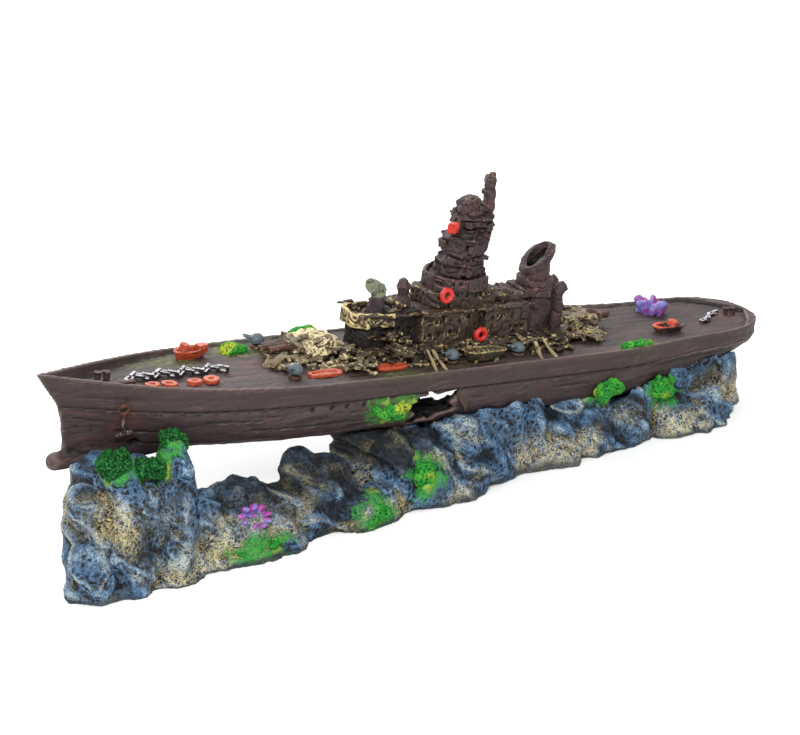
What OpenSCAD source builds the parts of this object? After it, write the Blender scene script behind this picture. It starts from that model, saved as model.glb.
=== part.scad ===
// Sunken battleship that gives off bubbles: a hollow resin ship, wrecked amidships and trimmed
// bow-up on a cast reef. An air stone cartridge plugs into the back of the reef, and its bubbles
// climb a riser tube through the hull and leave by the funnel.
// Frame: +X from bow to stern, -Y is the port side (the front), +Z up, Z = 0 is the floor.
// The ship's own frame has its origin on the deck amidships, +X aft along the deck.

/* [Ship] */
// Widest beam of the deck
deck_beam = 62.8; // [60:0.2:64]
// Height of the deck above the floor where the ship's frame starts
deck_height = 51.9; // [50:0.1:54]
// Bow-up trim of the ship
trim_angle = 6.64; // [6:0.02:7.2]
// Depth of the deck casting at its edge, forward and amidships
deck_depth = 7.5; // [6:0.5:8]
// Depth of the hull amidships, from the deck surface to the keel
hull_depth = 27; // [26:0.5:29]
// Wall thickness of the hull casting
hull_wall = 3.2; // [2.4:0.2:3.6]

/* [Reef] */
// Overall depth of the reef, front to back
reef_depth = 96; // [92:2:104]
// Height of the sill that the crags stand on
sill_height = 4; // [3:0.5:6]

/* [Air] */
// Outside radius of the nipple that takes the airline
nipple_r = 2.4; // [2.2:0.1:2.6]
// Outside radius of the stone cartridge
cartridge_r = 6; // [5.6:0.1:6.2]
// Radial running clearance between cartridge and socket
running_gap = 0.05; // [0.03:0.01:0.08]
// Outside radius of the riser tube
riser_r = 4.5; // [4.2:0.1:4.6]

/* [Hidden] */
$fn = 32;
glue = 0.45;            // gap that the glue fills between two castings
ship_x = 8;             // where the ship's frame stands
reef_x = 4;             // where the reef's frame stands
bow_x = -182;           // stem head, in the ship's frame
stern_x = 173;          // stern, in the ship's frame
fore_run = -37;         // the bow narrows forward of this
lip = 0.8;              // height of the raised gunwale
rim = 2.2;              // width of the gunwale
half_length = ship_x + stern_x * cos(trim_angle);
half_depth = reef_depth / 2;
air_x = 61.5;           // the riser and the cartridge stand here, under the funnel
air_z = 10.5;            // height of the cartridge's axis
socket_r = cartridge_r + 1.6;
socket_front = -9;      // inner end of the socket
socket_back = 30;       // outer end of the socket, at the floor of the pocket
pocket_r = 9.4;
platform_z = 5;         // top of the gallery deck
house_z = 20;           // top of the deckhouses
platform_top = 20.5;    // top of the wing platform's bulwark
bridge_z = 27;          // underside of the bridge
tower_z = 32.8;         // foot of the tower
funnel_x = 51.4;
funnel_z = 24;          // foot of the funnel
riser_top = 69;         // upper end of the riser tube, inside the funnel

// ---------------------------------------------------------------- numbers

function clamp(t) = min(max(t, 0), 1);
function mix(a, b, t) = a + (b - a) * t;
function smooth(t) = let (c = clamp(t)) c * c * (3 - 2 * c);
// A repeatable number from 0 to 1 that looks random
function chance(n) = let (v = sin(n * 78.233) * 4375.85) v - floor(v);
function jitter(n, size) = (chance(n) * 2 - 1) * size;

// ---------------------------------------------------------------- ship's lines

// Deck half-breadth: a long fine bow, and a stern that tapers and then rounds off in its last stretch
function half_beam(t) = max(0.8, deck_beam / 2 * (
    t < fore_run
        ? 1 - pow((fore_run - t) / (fore_run - bow_x), 2.7)
        : (1 - 0.2 * smooth((t - 75) / 60)) * sqrt(1 - pow(clamp((t - stern_x + 43) / 43), 3))));
// Height of the gunwale above the deck: it sheers up to the stem and a little to the stern
function sheer(t) = lip + 5.9 * pow(clamp((-60 - t) / 122), 2) + 1.6 * pow(clamp((t - 105) / 66), 1.5);
// The deck casting thins towards the stern
function deck_foot(t) = deck_depth * (1 - 0.4 * smooth((t - 80) / 90));
// How far the stem lies aft of the stem head at height z, and the counter forward of the stern
function stem_rake(z) = 14 * (1 - exp(min(z - 6.7, 0) / 11));
function counter_rake(z) = -0.75 * max(-z - deck_depth, 0);
function raked_x(t, z) = t + stem_rake(z) * smooth((-t - 112) / 70) + counter_rake(z) * smooth((t - 95) / 78);
function keel_z(t) = -hull_depth - 7 * smooth((-t - 110) / 50) + 12 * smooth((t - 112) / 61);
// Half-breadth of the hull a fraction d of the way down from deck casting to keel
function hull_half(t, d, grow) =
    let (
        section = lookup(d, [[0, 0.985], [0.28, 0.96], [0.55, 0.9], [0.78, 0.8], [0.92, 0.62], [1, 0.34]]),
        fine_bow = 1 - 0.66 * d * smooth((-t - 85) / 90),
        fine_stern = 1 - 0.3 * d * smooth((t - 90) / 80)
    )
    max(0.6, half_beam(t) * section * fine_bow * fine_stern + grow);

hull_levels = [0, 0.28, 0.55, 0.78, 0.92, 1];

function mirrored(half) =
    concat(half, [for (i = [len(half) - 1:-1:0]) [half[i][0], -half[i][1], half[i][2]]]);

// One closed ring round the hull at station t, grown outward by grow, its top raised by lift
function hull_ring(t, grow, lift) = mirrored([
    for (d = hull_levels)
        let (
            z = mix(-deck_foot(t), keel_z(t) - grow, d),
            y = hull_half(t, d, grow)
        )
        [raked_x(t, z), -y, d == 0 ? z + lift : z]
]);

function deck_ring(t) =
    let (
        w = half_beam(t),
        in = max(w - rim * (1 + 3 * smooth((t - 156) / 14)), 0.3),
        top = sheer(t),
        foot = deck_foot(t)
    )
    mirrored([
        [raked_x(t, 0), -in, 0],
        [raked_x(t, top), -in, top],
        [raked_x(t, top), -w, top],
        [raked_x(t, 0), -w * 0.995, -foot / 3],
        [raked_x(t, -foot), -w * 0.985, -foot]
    ]);

stations = concat([for (t = [bow_x:5:-107]) t], [for (t = [-100:14:110]) t], [for (t = [120:6:162]) t],
    [166, 169, 171.5, stern_x]);

// A skin drawn through rings of points, closed by a cap at each end
module loft(rings) {
    n = len(rings[0]);
    last = len(rings) - 1;
    polyhedron(
        points = [for (r = rings) for (p = r) p],
        faces = concat(
            [for (i = [0:last - 1]) for (j = [0:n - 1]) for (half = [0, 1])
                let (a = i * n + j, b = i * n + (j + 1) % n)
                half == 0 ? [a, b + n, b] : [a, a + n, b + n]],
            [[for (j = [0:n - 1]) j]],
            [[for (j = [n - 1:-1:0]) last * n + j]]
        ),
        convexity = 6
    );
}

module on_ship() {
    translate([ship_x, 0, deck_height]) rotate([0, trim_angle, 0]) children();
}

module riser_hole(gap) {
    translate([air_x, 0, air_z]) cylinder(r = riser_r + gap, h = 80);
}

// ---------------------------------------------------------------- ship castings

module hull_form(grow, lift = 0) {
    loft([for (t = stations) hull_ring(t, grow, lift)]);
}

// A tapering tear that runs from a wound's middle to one sharp corner, through one side
module tear(middle, corner, near_y, depth) {
    hull() {
        translate([middle[0], near_y, middle[1]]) rotate([-90, 0, 0]) cylinder(r = 5, h = depth, $fn = 16);
        translate([corner[0], near_y, corner[1]]) rotate([-90, 0, 0]) cylinder(r = 0.4, h = depth, $fn = 16);
    }
}

port_wound = [-15, -14.5];
port_corners = [[-31, -14], [-24, -9.8], [-18.5, -7.6], [-9, -8.6], [-2.5, -8], [-4, -17], [-14, -22],
    [-27, -24]];
starboard_wound = [18, -27];
starboard_corners = [[2, -25], [7, -19], [20, -17], [32, -20], [36, -30], [10, -36]];
// The wound in the bottom, seen from above: [x, y]
keel_wound = [14, 9];
keel_corners = [[-4, 2], [6, -1], [20, 2], [32, 13], [26, 20], [13, 19], [1, 10]];

// Bulb at the forefoot
module bulb(grow) {
    hull() {
        translate([-171.5, 0, -30.4]) sphere(r = 4 + grow, $fn = 16);
        translate([-146, 0, -30]) sphere(r = 2.6 + grow, $fn = 16);
    }
}

module ship_hull() {
    color("#5a4740") difference() {
        on_ship() difference() {
            union() {
                hull_form(0);
                bulb(0);
            }
            loft([for (t = [-158:14:150]) hull_ring(t, -hull_wall, 1)]);
            for (c = port_corners) tear(port_wound, c, -40, 32);
            for (c = starboard_corners) tear(starboard_wound, c, 12, 28);
            rotate([-90, 0, 0]) for (c = keel_corners) tear(keel_wound, c, 17, 20);
        }
        riser_hole(0.4);
    }
}

module deck() {
    color("#63504a") difference() {
        on_ship() loft([for (t = stations) deck_ring(t)]);
        riser_hole(glue);
    }
}

// Shard of shell plating that still hangs at the after end of the port wound
module breach_plate() {
    color("#3c322f") on_ship() translate([-4, -29, -7.8]) rotate([82, 5, 8]) linear_extrude(height = 1.3)
        polygon([[0, 0], [7, 0.4], [9, -3], [5.4, -5.5], [4.4, -10], [2, -7.4], [-1, -3]]);
}

// ---------------------------------------------------------------- superstructure

// A block with chamfered fore end, standing on z0
module house(x0, x1, half, z0, z1, chamfer) {
    translate([0, 0, z0]) linear_extrude(height = z1 - z0)
        polygon([[x0 + chamfer, -half], [x1, -half], [x1, half], [x0 + chamfer, half],
            [x0, half - chamfer], [x0, chamfer - half]]);
}

// A row of portholes sunk into both sides of a house
module portholes(x0, x1, count, half, z) {
    for (i = [0:count - 1])
        translate([mix(x0, x1, (i + 0.5) / count), 0, z]) rotate([90, 0, 0])
            difference() {
                cylinder(r = 1, h = 2 * half + 2, center = true);
                cylinder(r = 1.5, h = 2 * half - 1.6, center = true);
            }
}

module gallery_deck() {
    color("#4a3b33") difference() {
        on_ship() union() {
            house(-26, 62, 15.5, 0, platform_z - 1, 3);
            house(-27, 64, 16.5, platform_z - 1, platform_z, 3);
            house(-45, -20, 11.5, 0, platform_z, 6);
        }
        riser_hole(glue);
    }
}

module forward_house() {
    color("#2f2724") on_ship() difference() {
        union() {
            house(-40, -25, 8, platform_z, platform_top - 6, 3);
            house(-25, -12.8, 8, platform_z, house_z - 1, 0.2);
            house(-24.8, -12.8, 10.5, house_z - 1, house_z + 1, 3);
        }
        portholes(-37, -27, 2, 8, 10);
        portholes(-24, -14, 2, 8, 13);
    }
}

module main_house() {
    color("#40342e") on_ship() difference() {
        union() {
            house(-12.8, 9.6, 12.4, platform_z, house_z - 1, 0.6);
            house(9.6, 18.6, 9, platform_z, house_z - 1, 0.2);
            house(-12.8, 18.6, 13.2, house_z - 1, house_z, 0.6);
        }
        portholes(-11, 8, 4, 12.4, 14.5);
        portholes(-11, 8, 4, 12.4, 10);
    }
}

module aft_house() {
    color("#43372f") difference() {
        on_ship() difference() {
            house(18.6, 41, 12, platform_z, house_z, 0.5);
            portholes(20, 40, 4, 12, 14.5);
        }
        riser_hole(glue);
    }
}

// Searchlight platform over the forward house, with a low bulwark round its fore edge
module wing_platform() {
    color("#5b4c3c") on_ship() difference() {
        house(-43, -25, 9.5, platform_top - 6, platform_top, 5);
        house(-41.6, -26, 8, platform_top - 3.4, platform_top + 1, 4.4);
    }
}

module director_tower() {
    color("#5d6048") on_ship() {
        translate([-30.5, -2.5, platform_top - 3.4]) cylinder(r1 = 4.4, r2 = 2.9, h = 10);
        translate([-30.5, -2.5, platform_top + 6]) cylinder(r = 3.4, h = 1.6);
        translate([-31.5, -2.5, platform_top + 9]) rotate([0, -62, 12])
            cylinder(r = 3.2, h = 8.4, center = true);
    }
}

module searchlight() {
    color("#46352f") on_ship() translate([-18, -3, house_z + 1]) rotate_extrude()
        polygon([[0, 0], [3.6, 0], [3.2, 3], [2, 4.5], [2.4, 6.5], [3, 8.5], [1.8, 11], [0, 12.5]]);
}

module bridge_base() {
    color("#33292a") on_ship() difference() {
        union() {
            house(-8.5, 25, 9, house_z, bridge_z, 4);
            house(25, 41, 7, house_z, bridge_z - 4, 0.2);
        }
        portholes(-6, 22, 6, 9, 24.5);
    }
}

// Half-round bridge wings with a bulwark
module bridge() {
    color("#4c3a36") on_ship() difference() {
        translate([9.5, 0, bridge_z]) cylinder(r = 13.6, h = tower_z - bridge_z);
        translate([9.5, 0, tower_z - 1.8]) cylinder(r = 12.4, h = 4);
        translate([29, 0, bridge_z + 4]) cube([12, 40, 12], center = true);
    }
}

// The pagoda: each storey is [foot height, centre, radius], and leans aft as it climbs
storeys = [[tower_z - 1.8, 11.4, 10.4], [37.6, 12.2, 9.6], [42.6, 12.6, 10.6], [48.2, 14.2, 8.8],
    [52, 14.6, 8.8]];

module storey(foot, head, centre, radius) {
    translate([centre, 0, foot]) cylinder(r = radius - 1.3, h = head - foot);
    translate([centre, 0, head - 1.1]) cylinder(r = radius, h = 1.1);
}

module conning_tower() {
    color("#463531") on_ship() difference() {
        union() for (i = [0:len(storeys) - 2])
            storey(storeys[i][0], storeys[i + 1][0], storeys[i][1], storeys[i][2]);
        for (i = [0:len(storeys) - 2]) for (k = [0:6])
            translate([storeys[i][1], 0, storeys[i][0] + 1.5]) rotate([0, 0, 144 + k * 24])
                translate([storeys[i][2] - 2.1, -0.6, 0]) cube([3, 1.2, 1.2]);
    }
}

module fire_control_top() {
    color("#513c37") on_ship() {
        translate([14.8, 0, 52]) cylinder(r = 7.6, h = 4);
        translate([15, 0, 56]) cylinder(r = 9.4, h = 1.6);
        translate([12.4, -1, 57.6]) cylinder(r = 5.6, h = 2.6);
        translate([9, -3.6, 60.2]) cube([7, 6.4, 4.8]);
        translate([8, -1, 60.2]) cube([3, 4.6, 2.8]);
    }
}

module foremast() {
    color("#4d3b38") on_ship() translate([21.5, -0.4, 57.9]) rotate([0, 4, 0]) {
        cylinder(r = 3.2, h = 3.6);
        cylinder(r1 = 2.8, r2 = 2.4, h = 12);
        translate([0.2, 0, 7.6]) sphere(r = 3);
        translate([0.4, 0, 12]) cylinder(r1 = 2, r2 = 1.1, h = 4.4);
        translate([0.8, 0, 12.6]) sphere(r = 2.1);
    }
}

module signal_box() {
    color("#d8361f") on_ship() translate([2.4, -5, 53.4]) rotate([0, 0, 30])
        cube([3.2, 3.8, 4.8], center = true);
}

// Trunk that the riser passes up, from the gallery to the funnel
module funnel_base() {
    color("#4a3833") difference() {
        on_ship() {
            translate([funnel_x, 0, platform_z]) cylinder(r = 7.6, h = funnel_z - platform_z);
            translate([0, 0, house_z]) linear_extrude(height = funnel_z - house_z)
                polygon([[41.2, -6.8], [54, -8.4], [58, -5], [58, 5], [54, 8.4], [41.2, 6.8]]);
        }
        riser_hole(glue);
    }
}

// Funnel with its mouth raked to face forward, so that the bubbles show as they leave
module funnel() {
    color("#54403b") on_ship() translate([funnel_x, 0, funnel_z]) difference() {
        union() {
            cylinder(r = 8, h = 3);
            cylinder(r = 6.6, h = 17.4);
        }
        translate([0, 0, -1]) cylinder(r = 4.9, h = 30);
        translate([-7.2, 0, 4.6]) rotate([0, -42, 0]) translate([-20, -20, 0]) cube([60, 40, 30]);
    }
}

// Two broken ventilator cowls behind the funnel
module ventilator_cowls() {
    color("#563f3a") on_ship() for (side = [-1, 1])
        translate([59.6 + side * 0.8, side * 4.2 - 1, platform_z]) {
            translate([1.8, 0, 0]) cylinder(r = 2.4, h = 14);
            translate([6.8, 0, 14]) rotate([90, 0, 0]) rotate_extrude(angle = 70, start = 110)
                translate([5, 0]) circle(r = 2.4);
        }
}

// ---------------------------------------------------------------- guns and wreckage

module gun_house_plan(radius, face) {
    polygon([[-radius, -face], [-radius, face], [radius * 0.2, radius * 0.9], [radius, face * 1.2],
        [radius, -face * 1.2], [radius * 0.2, -radius * 0.9]]);
}

// A gun house on its barbette, standing on the deck at the origin
module gun_house(radius, roof) {
    cylinder(r = radius * 0.8, h = 3);
    hull() {
        translate([0, 0, 3]) linear_extrude(height = 0.5) gun_house_plan(radius, 5);
        translate([1, 0, roof]) linear_extrude(height = 0.5) gun_house_plan(radius * 0.8, 4);
    }
}

// Three drooping barrels that leave the gun house's face at x
module gun_barrels(x, reach) {
    for (k = [-1:1]) translate([x, k * 3.4, 6]) rotate([0, -94 - abs(k) * 2, k * 4]) {
        cylinder(r1 = 1.7, r2 = 1.2, h = reach - 3 * abs(k));
        translate([0, 0, reach - 3 * abs(k) - 1.5]) cylinder(r = 1.5, h = 1.5);
    }
}

// Broken plates and ribs heaped in a field of half-size [a, b], lying on the deck
module wreckage(count, a, b, seed, long) {
    difference() {
        union() for (i = [0:count - 1])
            translate([jitter(seed + i * 7, a), jitter(seed + i * 13 + 3, b), 0.8 + 3 * chance(seed + i * 3)])
                rotate([jitter(seed + i, 24), jitter(seed + 2 * i, 22), chance(seed + 5 * i) * 180])
                    cube([long * (0.5 + 0.6 * chance(seed + i * 11)), 1.4 + 2.2 * chance(seed + i * 17), 1.3],
                        center = true);
        translate([-60, -60, -20]) cube([120, 120, 20]);
    }
}

module forward_turret() {
    color("#a08c68") on_ship() translate([-56, 5, 0]) gun_house(10.8, 8.6);
}

module forward_guns() {
    color("#5c3c2c") on_ship() translate([-56, 5, 0]) gun_barrels(-10.8, 13);
}

// Two rafts that lie on the deck: [x, y, length]
rafts = [[-62, -17.5, 16], [-31, -19.6, 15]];
raft_width = 7;

module forward_wreckage() {
    color("#7a6848") on_ship() difference() {
        union() {
            translate([-72, 4, 0]) wreckage(14, 7, 10, 11, 9);
            translate([-50, -13, 0]) wreckage(14, 10, 5, 31, 9);
            translate([-46, -19, 0]) wreckage(9, 4, 3, 47, 7);
        }
        translate([-56, 5, -1]) cylinder(r = 12.4, h = 12);
        translate([-92, -3.6, 2.8]) cube([40, 17.2, 12]);
        translate([-45.4, -11.9, -1]) cube([60, 23.8, 12]);
        translate([-27.4, -16.9, -1]) cube([60, 33.8, 12]);
        for (r = rafts) translate([r[0], r[1], 5]) cube([r[2] + 1, raft_width + 1, 12], center = true);
    }
}

module aft_turret() {
    color("#8a7654") on_ship() translate([78, 3, 0]) mirror([1, 0, 0]) gun_house(10, 7);
}

module aft_guns() {
    color("#5c4632") on_ship() translate([78, 3, 0]) mirror([1, 0, 0]) gun_barrels(-10, 8);
}

module aft_wreckage() {
    color("#8c7850") on_ship() difference() {
        union() {
            translate([88, 11, 0]) wreckage(10, 6, 9, 57, 9);
            translate([72, -10, 0]) wreckage(16, 9, 6, 83, 9);
        }
        translate([78, 3, -1]) cylinder(r = 11.6, h = 12);
        translate([40, -16.9, -1]) cube([24.4, 33.8, 12]);
    }
}

// Anti-aircraft mounts: [x, y, way the barrels point]
aa_guns = [[-72, 20.5, 160], [-75.5, -17, 200], [-2, -20.4, 200], [31, -20.4, 200]];
shield_r = 3;
shield_z = 2.2;         // height of the shields' flat undersides

module gun_mounts() {
    color("#4a332b") on_ship() for (g = aa_guns) translate([g[0], g[1], 0]) {
        cylinder(r = 2.6, h = 1.2);
        cylinder(r = 1.3, h = shield_z);
    }
}

module gun_shields() {
    color("#5d6b70") on_ship() for (g = aa_guns) translate([g[0], g[1], 0]) {
        translate([0, 0, shield_z]) intersection() {
            translate([0, 0, 1]) sphere(r = shield_r);
            translate([-10, -10, 0]) cube(20);
        }
        translate([0, 0, shield_z + 1.8]) rotate([0, 76, g[2]]) translate([0, 0, 2])
            for (k = [-1, 1]) translate([0, k, 0]) cylinder(r = 0.5, h = 4.2);
    }
}

// ---------------------------------------------------------------- boats and deck gear

module boat(length, beam, depth) {
    difference() {
        hull() {
            translate([0, 0, depth - 0.4]) linear_extrude(height = 0.4) boat_plan(length, beam);
            linear_extrude(height = 0.4) boat_plan(length * 0.76, beam * 0.5);
        }
        translate([0, 0, depth * 0.45]) hull() {
            translate([0, 0, depth]) linear_extrude(height = 0.4) boat_plan(length - 2, beam - 1.6);
            linear_extrude(height = 0.4) boat_plan(length * 0.76 - 2, beam * 0.55);
        }
    }
}

module boat_plan(length, beam) {
    polygon([for (a = [0:22.5:337.5])
        [length / 2 * cos(a), beam / 2 * sign(sin(a)) * pow(abs(sin(a)), 0.7)]]);
}

module lifeboat() {
    color("#5f5238") on_ship() translate([12.4, -23.4, 0]) {
        for (k = [-1, 1]) translate([k * 5 - 0.8, -2, 0]) cube([1.6, 4, 1.4]);
        translate([0, 0, 1.2]) boat(21, 7.4, 4.6);
        for (k = [-3:3]) translate([k * 2.4, 0, 4.3]) cube([0.8, 5, 0.8], center = true);
    }
}

module ring_buoy() {
    rotate([90, 0, 0]) rotate_extrude() translate([2.3, 0]) circle(r = 1.15);
}

module life_buoys() {
    color("#cf2a1c") on_ship() {
        translate([-2.2, -12.4, 26.6]) ring_buoy();
        translate([-2.2, -9.05, 28.9]) rotate([90, 0, 0]) cylinder(r = 0.6, h = 3);
        translate([15.5, -14.4, platform_z + 3.6]) ring_buoy();
    }
}

module life_rafts() {
    color("#c8501f") on_ship() for (r = rafts) translate([r[0], r[1], 0]) {
        linear_extrude(height = 1.6) difference() {
            boat_plan(r[2], raft_width);
            boat_plan(r[2] - 3.4, raft_width - 3.4);
        }
        linear_extrude(height = 1) boat_plan(r[2] - 3, raft_width - 3);
    }
}

// Broken davits that lean from the deck on to the gallery: [x, distance of the foot, lean aft]
davits = [[-14, 9.5, 16], [-9, 9, -10], [40, 9, 16], [47, 8, -12]];

module fallen_davits() {
    color("#9c8656") on_ship() difference() {
        for (d = davits) translate([d[0], -17.4 - d[1], 0]) rotate([-atan2(d[1], platform_z), d[2], 0])
            translate([0, 0, -2]) cylinder(r = 0.8, h = norm([d[1], platform_z]) + 2.6);
        translate([-100, -60, -20]) cube([200, 120, 20]);
    }
}

module cable_reels() {
    color("#cf5222") on_ship() for (p = [[-136.4, -10], [-129.2, -10.8], [-118, -11.2], [-110.8, -11.6]])
        translate([p[0], p[1], 0]) difference() {
            cylinder(r = 3.1, h = 1.8);
            translate([0, 0, 1]) cylinder(r = 1.2, h = 2);
        }
}

module wrecked_launch() {
    color("#b5491f") on_ship() translate([-105, 17, 0]) rotate([0, 0, 8]) {
        boat(17, 6.5, 4);
        translate([-3, 0, 1.6]) cylinder(r = 2.2, h = 5);
        translate([3.5, -2, 1.6]) cube([4, 4, 3.4]);
    }
}

module aft_launch() {
    color("#7d4536") on_ship() translate([118, -13, 0]) rotate([0, 0, -4]) {
        boat(17, 7, 3.2);
        translate([2, 0, 1.4]) cylinder(r = 2.4, h = 3.4);
    }
}

// Chain lying along the points of a path: every second link stands on edge
module chain(path, link) {
    for (i = [0:len(path) - 2])
        let (a = path[i], b = path[i + 1], n = max(1, round(norm(b - a) / link)))
        for (k = [0:n - 1])
            let (p = a + (b - a) * (k + 0.5) / n)
            translate([p[0], p[1], link * 0.39]) rotate([(k % 2) * 90, 0, atan2(b[1] - a[1], b[0] - a[0])])
                difference() {
                    cube([link * 1.3, link * 0.76, 1.3], center = true);
                    cube([link * 0.7, link * 0.26, 2], center = true);
                }
}

module fore_chain() {
    color("#d8d8d4") on_ship() chain([for (k = [0:8]) [-144 + k * 5.6, k % 2 == 0 ? -3.8 : 1.6]], 3.9);
}

module aft_chain() {
    color("#d8d4da") on_ship() chain([[141, -8], [146, -6.4], [150, -2], [157, 0.6]], 3);
}

module bollards() {
    color("#4d3832") on_ship() for (p = [[-151, 4], [-147, -9], [163, -1]])
        for (k = [-1, 1]) translate([p[0] + k * 1.9, p[1], 0]) {
            cylinder(r = 1.3, h = 3.4);
            translate([0, 0, 2.8]) cylinder(r = 1.7, h = 0.8);
        }
}

// Stockless anchors housed against both bows
anchor_x = -149;

module anchors() {
    color("#8a4a32") on_ship() for (side = [-1, 1])
        translate([anchor_x, side * (half_beam(anchor_x) + 1.9), 0]) rotate([-side * 20, 0, 0]) {
            translate([-2.2, 0, -6]) rotate([90, 0, 0]) rotate_extrude() translate([2, 0]) circle(r = 0.7);
            translate([1, 0, -18.6]) rotate([0, -15, 0]) cylinder(r = 0.8, h = 11);
            translate([1, 0, -18.6]) rotate([0, 80, 0]) cylinder(r = 1, h = 7.6, center = true);
        }
}

// ---------------------------------------------------------------- reef

// A rough lump: the hull of five jagged rings, wide at the foot, its narrow top leaning to one side
module lump(rx, ry, h, seed, sides = 7, rough = 0.24) {
    hull() for (ring = [[0, 1], [0.36, 1.02], [0.66, 0.9], [0.88, 0.66], [1, 0.34]])
        translate([rx * ring[0] * jitter(seed + 1, 0.3), ry * ring[0] * jitter(seed + 2, 0.3), h * ring[0]])
            linear_extrude(height = h * 0.01) polygon([for (k = [0:sides - 1])
                let (
                    r = ring[1] * (1 - rough * chance(seed + k * 3 + ring[0] * 40)),
                    a = k * 360 / sides + jitter(seed + k, 100 / sides)
                )
                [rx * r * cos(a), ry * r * sin(a)]]);
}

// Crags of the reef: [x, y, half length, half depth, height]
bow_pillar = [
    [-160, -10, 14, 17, 46], [-156, -21, 14, 16, 47], [-144, -15, 10, 14, 43], [-133, -22, 9.5, 17, 51],
    [-169, -26, 11, 14, 37], [-159, -33, 14, 12, 28], [-174, -37, 9, 11, 20], [-160, -39, 12, 11, 18],
    [-136, -32, 10, 16, 36], [-136, -40, 12, 11, 20], [-147, -28, 8, 11, 33], [-148, 2, 16, 18, 46],
    [-134, 16, 13, 16, 30]];
sill_ridge = [
    [-121, -30, 12, 15, 27], [-111, -26, 14, 14, 26], [-98, -25, 15, 13, 26], [-108, -38, 15, 10, 18],
    [-92, -38, 12, 9, 17], [-84, -25, 12, 12, 22], [-72, -25, 13, 13, 29.5], [-60, -26, 14, 15, 26.5],
    [-77, -37, 13, 9, 18], [-66, -34, 10, 10, 22], [-57, -38, 13, 10, 14]];
middle_pillar = [
    [-37, -15, 14, 15, 44], [-24, -10, 15, 14, 42], [-29, -27, 13, 12, 29], [-43, -35, 13, 10, 13],
    [-12, 4, 12, 13, 28]];
wound_rocks = [
    [-13, -28, 14, 14, 29], [-21, -37, 12, 8, 15], [2, -27, 14, 13, 31], [12, -27, 11, 11, 32],
    [6, -13, 20, 13, 34], [25, -26, 14, 13, 31], [-2, -36, 13, 7, 15], [16, -32, 13, 7, 13]];
stern_rocks = [
    [39, -22, 16, 15, 36], [46, -30, 15, 9, 20], [58, -18, 16, 17, 37], [73, -19, 16, 15, 34],
    [70, -29, 13, 9, 19], [89, -20, 15, 14, 30], [88, -30, 13, 8, 13], [104, -19, 16, 15, 31],
    [120, -17, 15, 17, 31], [112, -30, 14, 10, 15], [128, -30, 12, 11, 16], [134, -14, 16, 16, 28],
    [148, -10, 12, 14, 29], [146, 10, 13, 15, 20], [60, 26, 18, 22, 33], [84, 20, 19, 21, 28],
    [110, 18, 19, 21, 25], [130, 14, 18, 17, 22], [36, -8, 14, 12, 30]];
crags = concat(bow_pillar, sill_ridge, middle_pillar, wound_rocks, stern_rocks);

reef_end = -half_length - reef_x;
sill_outline = [
    [reef_end, -38], [-176, -44], [-160, -half_depth], [-152, -45], [-138, -half_depth], [-127, -44],
    [-108, -half_depth], [-92, -46], [-80, -40], [-70, -40], [-56, -47], [-40, -45], [-24, -41], [0, -41],
    [14, -36], [28, -33], [45, -38], [64, -31], [80, -36], [96, -32], [110, -34], [121, -41], [132, -36],
    [147, -30], [157, -21], [161, -8], [160, 10], [150, 28], [134, 38], [110, 40], [86, 44],
    [64, half_depth], [50, 42], [46, 24], [36, 14], [12, 14], [0, 20], [-22, 22], [-40, 8], [-70, 2],
    [-100, 0], [-114, 4], [-122, 30], [-134, 34], [-146, 22], [-158, 2], [-172, -18], [reef_end, -32]];

module reef_base() {
    color("#56687c") difference() {
        intersection() {
            translate([reef_x, 0, 0]) {
                linear_extrude(height = sill_height) polygon(sill_outline);
                for (i = [0:len(crags) - 1]) translate([crags[i][0], crags[i][1], 0])
                    lump(crags[i][2], crags[i][3], crags[i][4], i * 17);
            }
            translate([-half_length, -half_depth, 0]) cube([2 * half_length, 2 * half_depth, 60]);
        }
        on_ship() {
            hull_form(glue, 20);
            bulb(glue);
        }
        riser_hole(0.4);
        translate([air_x, socket_front - 0.4, air_z]) rotate([-90, 0, 0])
            cylinder(r = socket_r + 0.4, h = 80);
        translate([air_x, socket_back, air_z]) rotate([-90, 0, 0]) cylinder(r = pocket_r, h = 80);
    }
}

// Growth over a patch, its lumps set out on a spiral. A patch is
// [position, half length, half width, lump size, how many lumps]
module growth(patch, seed) {
    for (i = [0:patch[4] - 1])
        let (
            out = sqrt((i + 0.3) / patch[4]),
            r = patch[3] * (0.8 + 0.4 * chance(seed + i * 3))
        )
        translate([patch[1] * out * cos(i * 137.5), patch[2] * out * sin(i * 137.5), -r * 0.4 * out])
            lump(r, r, r * 1.5, seed + i * 4, 6, 0.35);
}

// Patches on the reef: [position, half length, half width, lump size, how many, tilt to the front]
reef_patches = [
    [[-157, -25, 46], 5, 4, 4.4, 9, 35], [[-130.2, -23, 48], 4.8, 4, 4.4, 8, 35],
    [[-143, -26, 41], 6, 4, 3.6, 7, 45], [[-51, -42, 6], 7, 5, 3.8, 8, 55],
    [[-22, -38, 13], 5, 5, 3.8, 8, 60], [[-106, -44, 5], 11, 3, 2.8, 9, 55],
    [[76, -28, 27.5], 7, 5, 4.4, 9, 50], [[107, -27, 19], 4, 4, 4.4, 7, 60]];

module reef_moss() {
    color("#3f9a2c") difference() {
        intersection() {
            translate([reef_x, 0, 0]) for (m = reef_patches)
                translate(m[0]) rotate([m[5], 0, 0]) growth(m, m[0][0]);
            translate([-half_length, -half_depth, 0]) cube([2 * half_length, 2 * half_depth, 60]);
        }
        on_ship() hull_form(glue, 20);
    }
}

module hull_moss() {
    color("#4ba531") on_ship() translate([-36, -hull_half(-36, 0.3, 0) + 0.8, -14]) rotate([90, 0, 0])
        growth([0, 9, 3.4, 2.6, 11], 5);
}

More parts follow.
